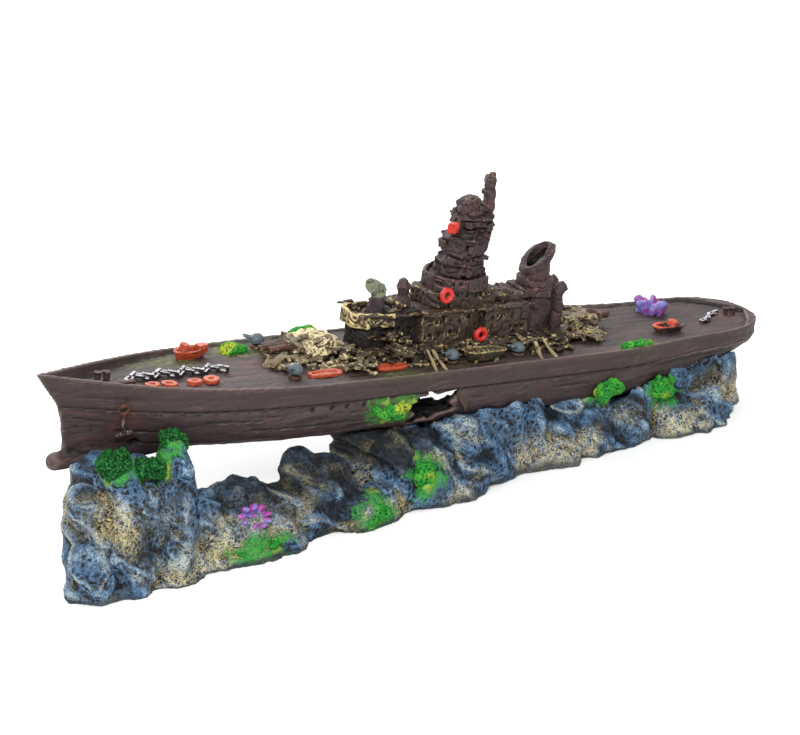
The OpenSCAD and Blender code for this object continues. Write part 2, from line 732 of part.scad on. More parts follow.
// Patches on the deck, in the ship's frame
deck_patches = [[[-84, 19, 0], 7, 4, 2.6, 8], [[90, -26.4, 0], 9, 2, 2.4, 9],
    [[-49, 21.5, 0], 6, 2.4, 4.6, 7]];

module deck_moss() {
    color("#4e8f2e") on_ship() for (m = deck_patches) translate(m[0]) growth(m, m[0][0]);
}

module deck_coral() {
    color("#8a70c8") on_ship() translate([128.5, 13, 0])
        for (k = [0:8]) rotate([0, 0, k * 40]) translate([2.8 + 1.6 * chance(k), 0, 0])
            rotate([0, 24 + 16 * chance(k + 5), 0]) lump(2.6, 2.2, 4.5 + 2.4 * chance(k * 3), k * 7, 6, 0.4);
}

module reef_coral() {
    color("#9a5cc0") translate([reef_x - 104, -38.4, 15.4]) rotate([50, 0, 0])
        for (k = [0:8]) rotate([0, 0, k * 40]) translate([3 + chance(k), 0, 0]) rotate([0, 34, 0])
            lump(2.2, 1.8, 5.4, k * 5, 6, 0.4);
}

// ---------------------------------------------------------------- air path

// Clear tube that carries the bubbles from the reef to the funnel
module riser_tube() {
    color("#d5dde2", 0.6) translate([air_x, 0, air_z + socket_r + 0.2]) difference() {
        cylinder(r = riser_r, h = riser_top - air_z - socket_r - 0.2);
        translate([0, 0, -1]) cylinder(r = riser_r - 1, h = 80);
    }
}

// Sleeve cast into the reef that holds the cartridge, open at the top under the riser
module air_socket() {
    color("#2b2d30") translate([air_x, 0, air_z]) difference() {
        rotate([-90, 0, 0]) difference() {
            translate([0, 0, socket_front]) cylinder(r = socket_r, h = socket_back - socket_front);
            translate([0, 0, socket_front + 2]) cylinder(r = cartridge_r + running_gap, h = 60);
        }
        cylinder(r = riser_r - 1, h = socket_r + 1);
    }
}

// Cartridge body with its flange and the nipple for the airline
module air_inlet() {
    color("#303338") translate([air_x, 0, air_z]) rotate([-90, 0, 0]) difference() {
        union() {
            translate([0, 0, 8]) cylinder(r = cartridge_r, h = socket_back - 8);
            translate([0, 0, 4.5]) cylinder(r = 2, h = 4);
            translate([0, 0, socket_back]) cylinder(r = cartridge_r + 2.6, h = 2);
            translate([0, 0, socket_back + 2]) cylinder(r = nipple_r, h = 13);
        }
        translate([0, 0, 22]) difference() {
            cylinder(r = cartridge_r + 1, h = 1.8);
            cylinder(r = cartridge_r - 1.2, h = 1.8);
        }
        translate([0, 0, 4]) cylinder(r = 1.1, h = 60);
    }
}

module inlet_seal() {
    color("#1d1d1f") translate([air_x, 22, air_z]) rotate([-90, 0, 0]) difference() {
        cylinder(r = cartridge_r, h = 1.8);
        translate([0, 0, -1]) cylinder(r = cartridge_r - 1.2, h = 4);
    }
}

// Sintered stone that breaks the air into bubbles under the riser
module air_stone() {
    color("#8d94a0") translate([air_x, 0, air_z]) rotate([-90, 0, 0]) difference() {
        union() {
            translate([0, 0, -5.6]) cylinder(r1 = 3.6, r2 = 5.2, h = 1.6);
            translate([0, 0, -4]) cylinder(r = 5.2, h = 12);
        }
        translate([0, 0, 4.5]) cylinder(r = 2, h = 4);
    }
}

reef_base();
ship_hull();
deck();
breach_plate();
gallery_deck();
forward_house();
main_house();
aft_house();
wing_platform();
director_tower();
searchlight();
bridge_base();
bridge();
conning_tower();
fire_control_top();
foremast();
signal_box();
funnel_base();
funnel();
ventilator_cowls();
forward_turret();
forward_guns();
forward_wreckage();
aft_turret();
aft_guns();
aft_wreckage();
gun_shields();
gun_mounts();
lifeboat();
life_buoys();
life_rafts();
fallen_davits();
cable_reels();
wrecked_launch();
aft_launch();
fore_chain();
aft_chain();
bollards();
anchors();
deck_coral();
reef_coral();
deck_moss();
hull_moss();
reef_moss();
riser_tube();
air_socket();
air_inlet();
inlet_seal();
air_stone();
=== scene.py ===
import itertools
import math

import bmesh
import bpy
import numpy as np
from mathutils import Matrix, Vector


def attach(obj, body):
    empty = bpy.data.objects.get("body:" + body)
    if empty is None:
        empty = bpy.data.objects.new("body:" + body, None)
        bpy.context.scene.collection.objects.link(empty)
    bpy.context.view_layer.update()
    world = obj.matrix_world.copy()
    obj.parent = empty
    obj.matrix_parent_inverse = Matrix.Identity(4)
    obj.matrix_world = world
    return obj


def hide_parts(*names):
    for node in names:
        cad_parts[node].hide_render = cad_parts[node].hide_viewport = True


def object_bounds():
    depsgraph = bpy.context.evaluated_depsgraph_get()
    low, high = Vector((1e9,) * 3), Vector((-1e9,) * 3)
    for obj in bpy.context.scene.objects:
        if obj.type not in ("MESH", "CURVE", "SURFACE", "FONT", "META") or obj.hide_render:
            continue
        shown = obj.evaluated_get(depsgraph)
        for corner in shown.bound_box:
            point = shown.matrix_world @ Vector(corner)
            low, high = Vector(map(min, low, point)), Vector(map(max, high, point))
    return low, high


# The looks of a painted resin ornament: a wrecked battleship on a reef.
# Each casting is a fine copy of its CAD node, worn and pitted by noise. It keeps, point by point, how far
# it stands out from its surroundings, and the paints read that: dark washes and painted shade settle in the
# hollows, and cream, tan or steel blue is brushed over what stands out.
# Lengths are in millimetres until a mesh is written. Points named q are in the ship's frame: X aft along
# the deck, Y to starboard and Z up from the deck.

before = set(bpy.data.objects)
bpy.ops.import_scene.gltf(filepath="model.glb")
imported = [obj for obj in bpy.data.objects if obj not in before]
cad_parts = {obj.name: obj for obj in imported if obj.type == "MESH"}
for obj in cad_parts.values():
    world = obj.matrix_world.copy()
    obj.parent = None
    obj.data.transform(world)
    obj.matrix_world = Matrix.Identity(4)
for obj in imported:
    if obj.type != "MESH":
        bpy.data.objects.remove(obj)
cad_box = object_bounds()

MM = 0.001
TRIM = math.radians(6.64)                # the ship lies bow-up on the reef
SHIP_AT = np.array([8.0, 0.0, 51.9])     # the deck amidships, where the ship's own frame stands
DECK_DEPTH = 7.5
FAST = 1.0        # coarser copies while trying things


# ---------------------------------------------------------------- the ship's frame

def to_ship(p):
    """Points of the shared frame, as the ship's own frame has them."""
    q = p - SHIP_AT
    c, s = math.cos(TRIM), math.sin(TRIM)
    return np.stack([q[:, 0] * c - q[:, 2] * s, q[:, 1], q[:, 0] * s + q[:, 2] * c], 1)


def from_ship(q):
    """Points of the ship's own frame, as the shared frame has them."""
    q = np.atleast_2d(np.asarray(q, float))
    c, s = math.cos(TRIM), math.sin(TRIM)
    return np.stack([q[:, 0] * c + q[:, 2] * s, q[:, 1], q[:, 2] * c - q[:, 0] * s], 1) + SHIP_AT


# ---------------------------------------------------------------- noise on points

def chance(x, y, z, seed):
    """A repeatable number from 0 to 1 for each whole-number cell."""
    h = (x * 374761393 + y * 668265263 + z * 1440662683 + seed * 1274126177) & 0xFFFFFFFF
    h = ((h ^ (h >> 13)) * 1274126177) & 0xFFFFFFFF
    return ((h ^ (h >> 16)) & 0xFFFF) / 65535.0


def smooth(t):
    """A soft step: 0 below 0, 1 above 1."""
    t = np.clip(t, 0, 1)
    return t * t * (3 - 2 * t)


def soft_noise(p, size, seed):
    """Smooth noise from -1 to 1 whose lumps are about size across; size may differ by axis."""
    q = p / np.asarray(size, float)
    cell = np.floor(q).astype(np.int64)
    f = smooth(q - cell)
    total = 0
    for corner in itertools.product((0, 1), repeat=3):
        weight = np.prod([f[:, k] if corner[k] else 1 - f[:, k] for k in range(3)], axis=0)
        total = total + weight * chance(*(cell[:, k] + corner[k] for k in range(3)), seed)
    return total * 2 - 1


def rough_noise(p, size, seed, octaves=3):
    """Soft noise with finer and weaker noise added, octave by octave."""
    return sum(soft_noise(p, np.asarray(size) / 2**k, seed + k * 31) / 2**k for k in range(octaves))


def warp(p, size, seed):
    """A smooth vector field, each part from -1 to 1."""
    return np.stack([soft_noise(p, size, seed + k * 57) for k in range(3)], 1)


def leaning(p, degrees):
    """The same points, turned about the Y axis, so that streaks drawn along X lean."""
    c, s = math.cos(math.radians(degrees)), math.sin(math.radians(degrees))
    return np.stack([p[:, 0] * c - p[:, 2] * s, p[:, 1], p[:, 0] * s + p[:, 2] * c], 1)


def pebbles(p, size, seed):
    """Cells of about size: the distance to the nearest middle, and how near the border is, both in cells."""
    q = p / np.asarray(size, float)
    cell = np.floor(q).astype(np.int64)
    nearest = np.full(len(p), 9.0)
    second = nearest.copy()
    for step in itertools.product((-1, 0, 1), repeat=3):
        c = cell + np.array(step)
        middle = np.stack([c[:, k] + chance(c[:, 0], c[:, 1], c[:, 2], seed + k) for k in range(3)], 1)
        d = np.linalg.norm(q - middle, axis=1)
        second = np.minimum(second, np.maximum(nearest, d))
        nearest = np.minimum(nearest, d)
    return nearest, second - nearest


def groove(distance, width):
    """1 in the middle of a line, 0 a width away from it."""
    return np.exp(-((distance / width) ** 2))


# ---------------------------------------------------------------- fine copies of castings

def read_points(mesh):
    """A mesh's points in millimetres."""
    flat = np.empty(len(mesh.vertices) * 3)
    mesh.vertices.foreach_get("co", flat)
    return flat.reshape(-1, 3) / MM


def write_points(mesh, p):
    mesh.vertices.foreach_set("co", (p * MM).ravel())
    mesh.update()


def read_normals(mesh):
    flat = np.empty(len(mesh.vertices) * 3)
    mesh.vertex_normals.foreach_get("vector", flat)
    return flat.reshape(-1, 3)


def neighbour_mean(mesh, values, rounds):
    """Each point's value averaged with its neighbours', several times over."""
    pairs = np.empty(len(mesh.edges) * 2, dtype=np.int64)
    mesh.edges.foreach_get("vertices", pairs)
    a, b = pairs[0::2], pairs[1::2]
    count = len(mesh.vertices)
    joined = np.maximum(np.bincount(a, minlength=count) + np.bincount(b, minlength=count), 1)
    values = values.copy()
    for _ in range(rounds):
        for k in range(values.shape[1]):
            column = values[:, k]
            total = np.bincount(a, column[b], count) + np.bincount(b, column[a], count)
            values[:, k] = 0.5 * column + 0.5 * total / joined
    return values


def keep(mesh, name, values):
    """Stores a number per point for the paints to read."""
    layer = mesh.attributes.new(name, "FLOAT", "POINT")
    layer.data.foreach_set("value", np.asarray(values, np.float32))


def keep_relief(mesh):
    """Stores how far each point stands out, in millimetres: over its near and its wider surroundings."""
    p, n = read_points(mesh), read_normals(mesh)
    near = neighbour_mean(mesh, p, 5)
    wide = neighbour_mean(mesh, near, 40)
    keep(mesh, "relief", ((p - near) * n).sum(1))
    keep(mesh, "swell", ((near - wide) * n).sum(1))
    keep(mesh, "height", (p[:, 2] - p[:, 2].min()) / np.ptp(p[:, 2]))


def remeshed(name, source, voxel):
    """One object with an even, fine mesh that follows the solids drawn in source."""
    mesh = bpy.data.meshes.new(name)
    source.to_mesh(mesh)
    source.free()
    piece = bpy.data.objects.new(name, mesh)
    bpy.context.collection.objects.link(piece)
    remesh = piece.modifiers.new("fine", "REMESH")
    remesh.mode = "VOXEL"
    remesh.voxel_size = voxel * FAST * MM
    shaped = piece.evaluated_get(bpy.context.evaluated_depsgraph_get())
    fine = bpy.data.meshes.new_from_object(shaped)
    piece.modifiers.clear()
    piece.data = fine
    fine.shade_smooth()
    return piece


def fine_copy(name, node, voxel):
    """A finely meshed copy of one CAD node."""
    source = bmesh.new()
    source.from_mesh(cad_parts[node].data)
    bmesh.ops.remove_doubles(source, verts=source.verts, dist=0.002 * MM)
    return remeshed(name, source, voxel)


def move_out(piece, amount):
    """Moves each point along its normal."""
    mesh = piece.data
    write_points(mesh, read_points(mesh) + read_normals(mesh) * amount[:, None])


def rounded(piece, rounds, share=1.0):
    """Melts edges; rounds is for a full-quality mesh, share says how far each point follows."""
    mesh = piece.data
    p = read_points(mesh)
    melted = neighbour_mean(mesh, p, max(1, round(rounds / FAST**2)))
    write_points(mesh, p + np.reshape(share, (-1, 1)) * (melted - p))


def halo(nodes, rounds):
    """A blurred field round the given CAD nodes: 1 on them, fading to 0 some millimetres away."""
    cell, margin, fade = 2.5, 20, 0.86
    low = np.array(cad_box[0]) / MM - margin
    counts = np.ceil((np.array(cad_box[1]) / MM + margin - low) / cell).astype(int)
    field = np.zeros(counts)
    for node in nodes:
        at = np.round((read_points(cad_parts[node].data) - low) / cell).astype(int)
        field[tuple(at.T)] = 1.0
    for _ in range(rounds):
        for k in range(3):
            field = np.maximum(field, fade * np.maximum(np.roll(field, 1, k), np.roll(field, -1, k)))

    def read(p):
        at = np.clip(np.round((p - low) / cell).astype(int), 0, counts - 1)
        return field[tuple(at.T)]
    return read


def stain(p, node, seed, start, fade):
    """How far moss has stained each point, 0 to 1, with a ragged edge round the given growth."""
    growth = halo([node], 3)(p + 1.6 * warp(p, 5.0, seed))
    return smooth((growth - start) / fade)


def stand_for(piece, nodes, paint):
    """Relief, paint, body, nodes and slot: what every finished casting needs."""
    if "relief" not in piece.data.attributes:
        keep_relief(piece.data)
    piece.data.materials.clear()
    piece.data.materials.append(paint)
    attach(piece, "ornament")
    if nodes:
        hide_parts(*nodes)


# ---------------------------------------------------------------- paints

def colour(code):
    """A colour written as sRGB hex, as the linear values that nodes take."""
    parts = [int(code[k:k + 2], 16) / 255 for k in (1, 3, 5)]
    return [c / 12.92 if c <= 0.04045 else ((c + 0.055) / 1.055) ** 2.4 for c in parts] + [1.0]


class Paint:
    """Builds one node material, one layer of colour over another."""

    def __init__(self, name, base):
        self.material = bpy.data.materials.new(name)
        self.material.use_nodes = True
        self.tree = self.material.node_tree
        self.tree.nodes.clear()
        self.coat = colour(base)
        place = self.tree.nodes.new("ShaderNodeTexCoord")
        self.place = place.outputs["Object"]
        self.normal = place.outputs["Normal"]

    def plug(self, socket, value):
        if isinstance(value, bpy.types.NodeSocket):
            self.tree.links.new(value, socket)
        else:
            socket.default_value = value

    def math(self, operation, a, b):
        node = self.tree.nodes.new("ShaderNodeMath")
        node.operation = operation
        self.plug(node.inputs[0], a)
        self.plug(node.inputs[1], b)
        return node.outputs[0]

    def times(self, a, b):
        return self.math("MULTIPLY", a, b)

    def plus(self, a, b):
        return self.math("ADD", a, b)

    def greater(self, a, b):
        return self.math("MAXIMUM", a, b)

    def band(self, value, low, high):
        """0 below low, 1 above high, smooth between; the other way round if low is the greater."""
        node = self.tree.nodes.new("ShaderNodeMapRange")
        node.interpolation_type = "SMOOTHSTEP"
        falling = low > high
        self.plug(node.inputs["Value"], value)
        self.plug(node.inputs["From Min"], min(low, high))
        self.plug(node.inputs["From Max"], max(low, high))
        self.plug(node.inputs["To Min"], 1.0 if falling else 0.0)
        self.plug(node.inputs["To Max"], 0.0 if falling else 1.0)
        return node.outputs["Result"]

    def stretched(self, stretch):
        node = self.tree.nodes.new("ShaderNodeMapping")
        self.plug(node.inputs["Vector"], self.place)
        node.inputs["Scale"].default_value = [1 / (s * MM) for s in stretch]
        return node.outputs["Vector"]

    def noise(self, size, detail=3.0):
        """Cloudy noise from 0 to 1, its patches size millimetres across, or size by axis."""
        node = self.tree.nodes.new("ShaderNodeTexNoise")
        self.plug(node.inputs["Vector"], self.stretched(size if isinstance(size, tuple) else (size,) * 3))
        node.inputs["Scale"].default_value = 1.0
        node.inputs["Detail"].default_value = detail
        node.inputs["Roughness"].default_value = 0.62
        return node.outputs["Fac"]

    def cracks(self, size, bend=0.0):
        """Distance to the border between cells of the given size, 0 on the border; bend makes them wormy."""
        node = self.tree.nodes.new("ShaderNodeTexVoronoi")
        node.feature = "DISTANCE_TO_EDGE"
        bent = self.tree.nodes.new("ShaderNodeVectorMath")
        bent.operation = "MULTIPLY_ADD"
        swirl = self.noise(size * 1.3, 2.0).node
        self.plug(bent.inputs[0], swirl.outputs["Color"])
        bent.inputs[1].default_value = (bend, bend, bend)
        self.plug(bent.inputs[2], self.stretched((size,) * 3))
        self.plug(node.inputs["Vector"], bent.outputs[0])
        node.inputs["Scale"].default_value = 1.0
        return node.outputs["Distance"]

    def kept(self, name):
        """A number that keep has stored on each point."""
        node = self.tree.nodes.new("ShaderNodeAttribute")
        node.attribute_name = name
        return node.outputs["Fac"]

    def axis(self, k, of="place"):
        node = self.tree.nodes.new("ShaderNodeSeparateXYZ")
        self.plug(node.inputs[0], self.place if of == "place" else self.normal)
        return node.outputs[k]

    def facing_up(self, low, high):
        return self.band(self.axis(2, "normal"), low, high)

    def lay(self, code, mask, strength=1.0):
        """Lays a colour over what is there, where the mask says."""
        node = self.tree.nodes.new("ShaderNodeMix")
        node.data_type = "RGBA"
        self.plug(node.inputs[0], mask if strength == 1.0 else self.times(mask, strength))
        self.plug(node.inputs[6], self.coat)
        self.plug(node.inputs[7], colour(code))
        self.coat = node.outputs[2]

    def done(self, roughness=0.6, grain=0.4, grain_size=0.5, sheen=0.3, relief=None):
        """Ends the paint: fine grain, plus any relief of its own, as a bump; uneven roughness."""
        shader = self.tree.nodes.new("ShaderNodeBsdfPrincipled")
        output = self.tree.nodes.new("ShaderNodeOutputMaterial")
        bump = self.tree.nodes.new("ShaderNodeBump")
        bump.inputs["Distance"].default_value = 0.35 * MM
        bump.inputs["Strength"].default_value = grain
        height = self.noise(grain_size, 4.0)
        self.plug(bump.inputs["Height"], height if relief is None else self.plus(height, relief))
        self.plug(shader.inputs["Normal"], bump.outputs["Normal"])
        self.plug(shader.inputs["Base Color"], self.coat)
        uneven = self.math("MULTIPLY_ADD", self.noise(4.0), 0.24)
        uneven.node.inputs[2].default_value = roughness - 0.12
        self.plug(shader.inputs["Roughness"], uneven)
        shader.inputs["Specular IOR Level"].default_value = sheen
        self.tree.links.new(shader.outputs[0], output.inputs[0])
        return self.material


def rock_paint():
    """Near-black rock, brushed with steel blue, olive and cream, washed dark in its pits, painted with shade
    in its clefts and wide hollows, and stained by the moss.
    """
    p = Paint("reef_paint", "#1c2530")
    relief, swell = p.kept("relief"), p.kept("swell")
    worm, grit = p.cracks(1.9, 1.8), p.cracks(1.0, 1.0)
    uneven = p.times(p.noise(3.2), 0.3)
    vein = p.band(p.plus(worm, uneven), 0.34, 0.14)
    vein = p.times(vein, p.band(p.noise(1.6), 0.34, 0.56))
    speck = p.times(p.band(grit, 0.2, 0.05), p.band(p.noise(5.0), 0.4, 0.6))
    brushed = p.greater(vein, p.times(speck, 0.7))
    open_face = p.band(p.plus(p.times(swell, 0.45), p.noise(20.0, 2.0)), 0.36, 0.76)
    p.lay("#2f4f6e", open_face, 0.72)
    p.lay("#474d52", p.band(p.noise(8.0), 0.5, 0.66), 0.6)
    p.lay("#6d98c0", p.times(brushed, p.band(relief, -0.14, 0.1)), 0.62)
    crest = p.band(p.plus(p.times(swell, 0.5), p.noise(9.0)), 0.62, 1.02)
    p.lay("#a9c0cc", p.times(crest, brushed), 0.8)
    # painted shade: near-black in the deep clefts between the folds
    p.lay("#0b0e14", p.kept("cleft"), 0.7)
    p.lay("#0d1218", p.band(relief, 0.02, -0.18), 0.92)
    # painted shade: near-black over the wide hollows
    p.lay("#0b0e14", p.band(swell, -0.1, -0.9), 0.92)
    p.lay("#101113", p.kept("dark"), 0.92)
    patchy = p.greater(p.band(p.noise(6.0), 0.5, 0.64), p.kept("crest"))
    olive = p.times(brushed, patchy)
    p.lay("#756a44", p.times(p.kept("dark"), olive), 0.6)
    on_top = p.times(p.band(relief, 0.1, 0.3), p.band(p.noise(1.3), 0.4, 0.6))
    on_top = p.greater(brushed, on_top)
    p.lay("#cdbd88", p.times(p.kept("cream"), on_top), 0.9)
    p.lay("#c3bd96", p.times(p.kept("crest"), on_top), 0.7)
    stain = p.times(p.kept("green"), p.band(relief, -0.12, 0.04))
    p.lay("#1f6a26", stain, 0.85)
    p.lay("#3c9636", p.times(stain, p.band(p.plus(brushed, p.noise(2.4)), 0.5, 0.9)), 0.85)
    p.lay("#a2ae3e", p.times(p.kept("green"), p.band(p.noise(9.0, 1.0), 0.56, 0.66)), 0.6)
    p.lay("#222830", p.kept("foot"), 0.8)
    bumps = p.times(brushed, 1.3)
    return p.done(roughness=0.62, grain=0.8, grain_size=0.9, sheen=0.3, relief=bumps)


def hull_paint():
    """Brown plating with long streaks, black seams, rust below the hawse and green round the moss."""
    p = Paint("hull_paint", "#372b2b")
    relief = p.kept("relief")
    p.lay("#4a3c3c", p.band(p.noise((34.0, 34.0, 9.0)), 0.44, 0.62), 0.55)
    p.lay("#55322c", p.band(p.noise((18.0, 18.0, 3.0)), 0.52, 0.72), 0.6)
    p.lay("#211b1d", p.band(p.noise((26.0, 26.0, 2.0)), 0.5, 0.64), 0.8)
    p.lay("#5a4a46", p.band(p.noise((9.0, 9.0, 1.1), 5.0), 0.56, 0.76), 0.55)
    p.lay("#241c1c", p.band(p.axis(0), 0.0, 0.12), 0.3)
    stained = p.times(p.band(p.noise(20.0), 0.5, 0.64), p.band(p.kept("high"), 0.3, 1.0))
    p.lay("#3a3c28", stained, 0.55)
    p.lay("#0f0b0a", p.band(relief, -0.015, -0.1), 0.92)
    p.lay("#6b5953", p.band(relief, 0.05, 0.18), 0.55)
    p.lay("#0a0606", p.kept("seam"), 0.95)
    p.lay("#5a3022", p.times(p.kept("rust"), p.band(p.noise((3.0, 3.0, 9.0)), 0.4, 0.6)), 0.6)
    p.lay("#2c6a22", p.times(p.kept("green"), p.band(p.noise(2.4), 0.36, 0.5)), 0.85)
    p.lay("#8fa33a", p.times(p.kept("green"), p.band(p.noise(6.0, 1.0), 0.56, 0.64)), 0.6)
    p.lay("#0d0a0a", p.kept("inside"), 0.9)
    return p.done(grain_size=0.6)


def deck_paint():
    """Brown planks streaked fore and aft, stained green; the gunwale's sides are a little darker."""
    p = Paint("deck_paint", "#382c2b")
    relief = p.kept("relief")
    p.lay("#5c403c", p.band(p.noise((30.0, 12.0, 6.0)), 0.48, 0.66), 0.6)
    p.lay("#2c2425", p.band(p.noise((20.0, 1.8, 1.8)), 0.5, 0.68), 0.7)
    p.lay("#584a43", p.band(p.noise((11.0, 2.2, 2.2), 5.0), 0.56, 0.74), 0.5)
    p.lay("#444a24", p.kept("green"), 0.8)
    p.lay("#7f7d46", p.times(p.kept("green"), p.band(p.noise(3.0), 0.52, 0.68)), 0.6)
    p.lay("#120e0d", p.band(relief, -0.01, -0.09), 0.88)
    p.lay("#75665e", p.band(relief, 0.04, 0.18), 0.5)
    p.lay("#352928", p.kept("side"), 0.8)
    p.lay("#54423d", p.times(p.kept("side"), p.band(p.noise((16.0, 16.0, 1.2)), 0.54, 0.7)), 0.7)
    p.lay("#0e0a09", p.kept("seam"), 0.9)
    return p.done(grain_size=0.6)


def resin_paint(name, base, wash_and_shade, brushed, warm, brushing=0.6, catch=0.2):
    """Painted resin: a base coat, warmer clouds, a dark wash in small hollows, painted shade in wide hollows
    and on faces that look down, a brushed colour on edges.

    The lower catch is, the more of the surface the brush has touched."""
    p = Paint(name, base)
    relief = p.kept("relief")
    p.lay(warm, p.band(p.noise(5.0), 0.48, 0.68), 0.5)
    p.lay(wash_and_shade, p.band(relief, 0.0, -0.09), 0.92)
    # painted shade: the same dark colour over wide hollows
    p.lay(wash_and_shade, p.band(p.kept("swell"), -0.1, -0.7), 0.8)
    edge = p.plus(relief, p.times(p.noise(7.0), 0.3))
    p.lay(brushed, p.band(edge, catch, catch + 0.14), brushing)
    # painted shade: the same dark colour on faces that look down
    p.lay(wash_and_shade, p.band(p.axis(2, "normal"), -0.1, -0.7), 0.6)
    return p.done()


def moss_paint():
    """Two greens with yellow patches, a darker green on the mounds, and painted shade in the hollows between
    tufts.
    """
    p = Paint("moss_paint", "#237a2c")
    relief = p.kept("relief")
    p.lay("#4d9c34", p.band(p.noise(3.4), 0.45, 0.62), 0.75)
    p.lay("#0f4a24", p.kept("mound"), 0.85)
    p.lay("#a0aa30", p.kept("yellow"), 0.85)
    # painted shade: near-black green in the hollows between tufts
    p.lay("#06200f", p.band(relief, 0.02, -0.1), 0.92)
    p.lay("#06200f", p.times(p.kept("mound"), p.band(p.noise(1.1), 0.46, 0.6)), 0.7)
    p.lay("#5aa544", p.band(relief, 0.08, 0.22), 0.4)
    return p.done(roughness=0.85, grain=0.9, grain_size=0.6, sheen=0.12)


def coral_paint():
    """Violet with magenta clouds, paler where the petals stand out."""
    p = Paint("coral_paint", "#6a63a6")
    p.lay("#8e2b78", p.band(p.noise(4.0), 0.46, 0.54), 0.9)
    p.lay("#a79dcc", p.band(p.kept("relief"), 0.05, 0.24), 0.45)
    p.lay("#281f48", p.band(p.kept("relief"), 0.0, -0.12), 0.85)
    return p.done(roughness=0.45, grain=0.3, grain_size=0.6, sheen=0.4)


def gloss_paint(name, base, dark, light):
    """A smooth coloured paint, dark in hollows and lighter on edges."""
    p = Paint(name, base)
    p.lay(dark, p.band(p.kept("relief"), 0.0, -0.1), 0.8)
    p.lay(dark, p.band(p.noise(1.6), 0.55, 0.75), 0.35)
    p.lay(light, p.band(p.kept("relief"), 0.04, 0.2), 0.5)
    return p.done(roughness=0.42, grain=0.25, grain_size=0.4, sheen=0.45)


def chain_paint():
    """Near-black painted shade over white links, their white left on the raised tops that face up, and paler
    still on raised edges.
    """
    # painted shade: the near-black base stands for the shade on the links' sides, undersides and gaps
    p = Paint("chain_paint", "#1c1a1e")
    worn = p.plus(p.kept("relief"), p.times(p.noise(1.8), 0.5))
    # the links' own white, only on raised tops that face up
    p.lay("#b9b6bb", p.times(p.facing_up(0.1, 0.6), p.band(worn, 0.16, 0.3)), 0.95)
    p.lay("#dcdadd", p.band(p.kept("relief"), 0.05, 0.2), 0.4)
    return p.done(roughness=0.45, grain=0.25, grain_size=0.4, sheen=0.4)


def funnel_paint():
    """Brown with rusty streaks, and near-black inside."""
    p = Paint("funnel_paint", "#3d2d2b")
    p.lay("#55362f", p.band(p.noise((4.0, 4.0, 9.0)), 0.48, 0.66), 0.6)
    p.lay("#0e0a09", p.band(p.kept("relief"), 0.0, -0.1), 0.9)
    p.lay("#7a5a4e", p.band(p.kept("relief"), 0.08, 0.2), 0.6)
    # near-black on the funnel's inner wall
    p.lay("#060404", p.kept("near_black_inside"), 0.96)
    return p.done()


def director_paint():
    """An olive-grey drum on a brown tower."""
    p = Paint("director_paint", "#33272a")
    p.lay("#5a5c4a", p.band(p.kept("height"), 0.5, 0.6), 0.95)
    p.lay("#7c8068", p.times(p.band(p.kept("height"), 0.5, 0.6), p.noise(3.0)), 0.8)
    p.lay("#110e0d", p.band(p.kept("relief"), 0.0, -0.1), 0.9)
    return p.done()


def launch_paint():
    """A dark hull with a red-orange cabin."""
    p = Paint("launch_paint", "#3a2a26")
    p.lay("#6a4a40", p.band(p.noise(2.0), 0.5, 0.65), 0.6)
    p.lay("#b4472c", p.band(p.kept("height"), 0.6, 0.75), 0.9)
    p.lay("#120b0a", p.band(p.kept("relief"), 0.0, -0.1), 0.9)
    return p.done(roughness=0.55, grain=0.3, grain_size=0.5, sheen=0.35)


def anchor_paint():
    """Rust at the ring, grey streaks down the shank."""
    p = Paint("anchor_paint", "#54301f")
    p.lay("#2a1d19", p.band(p.noise(1.6), 0.42, 0.6), 0.8)
    low = p.band(p.kept("height"), 0.6, 0.4)
    p.lay("#2c2626", low, 0.9)
    p.lay("#8d857c", p.times(low, p.band(p.noise((1.0, 1.0, 5.0)), 0.5, 0.62)), 0.7)
    p.lay("#110a08", p.band(p.kept("relief"), 0.0, -0.08), 0.9)
    return p.done(grain=0.5)


def moulded_paint(name, base, speck, roughness, size):
    """Plain moulded or sintered material with a fine grain."""
    p = Paint(name, base)
    p.lay(speck, p.band(p.noise(size), 0.5, 0.7), 0.5)
    return p.done(roughness=roughness, grain=0.3, grain_size=size, sheen=0.5)


def tube_paint():
    """Clear plastic with a trace of milk."""
    p = Paint("tube_paint", "#dfe8ea")
    p.lay("#c9d6d4", p.band(p.noise(6.0), 0.45, 0.7), 0.5)
    material = p.done(roughness=0.2, grain=0.05, grain_size=3.0, sheen=0.5)
    shader = next(n for n in material.node_tree.nodes if n.type == "BSDF_PRINCIPLED")
    shader.inputs["Transmission Weight"].default_value = 0.85
    return material


# ---------------------------------------------------------------- reef

BOW_END = -160                           # where the bow pillar stands, along the reef
PILLAR_AT, PILLAR_REACH = -34, 18        # the middle pillar and how far its dark paint goes
RIDGE_AT, RIDGE_REACH = -78, 34          # the ridge between the pillars
CREAM_BAND = 27                          # height of the cream band across the bow pillar
HULL_SEAT = -30                          # rock above this, in the ship's frame, fits the hull
HULL_SEAT_HALF = 24                      # half the width of that seat


def held_rock(drawn):
    """How freely the rock may be reshaped: hardly under the hull, and little where growth is planted."""
    seat = to_ship(drawn)
    under_hull = smooth((seat[:, 2] - HULL_SEAT) / 6) * (np.abs(seat[:, 1]) < HULL_SEAT_HALF)
    planted = smooth((halo(["reef_moss", "reef_coral"], 3)(drawn) - 0.6) / 0.3)
    return (1 - 0.85 * under_hull) * (1 - 0.75 * planted)


def dark_rock(p):
    """Where the rock has its darkest paint, 0 to 1: on the middle pillar and on the ridge."""
    pillar = smooth(1.6 - np.abs(p[:, 0] - PILLAR_AT) / PILLAR_REACH) * smooth((p[:, 2] - 12) / 8)
    ridge = smooth(1.5 - np.abs(p[:, 0] - RIDGE_AT) / RIDGE_REACH) * smooth((p[:, 2] - 13) / 8)
    return np.maximum(pillar, 0.85 * ridge)


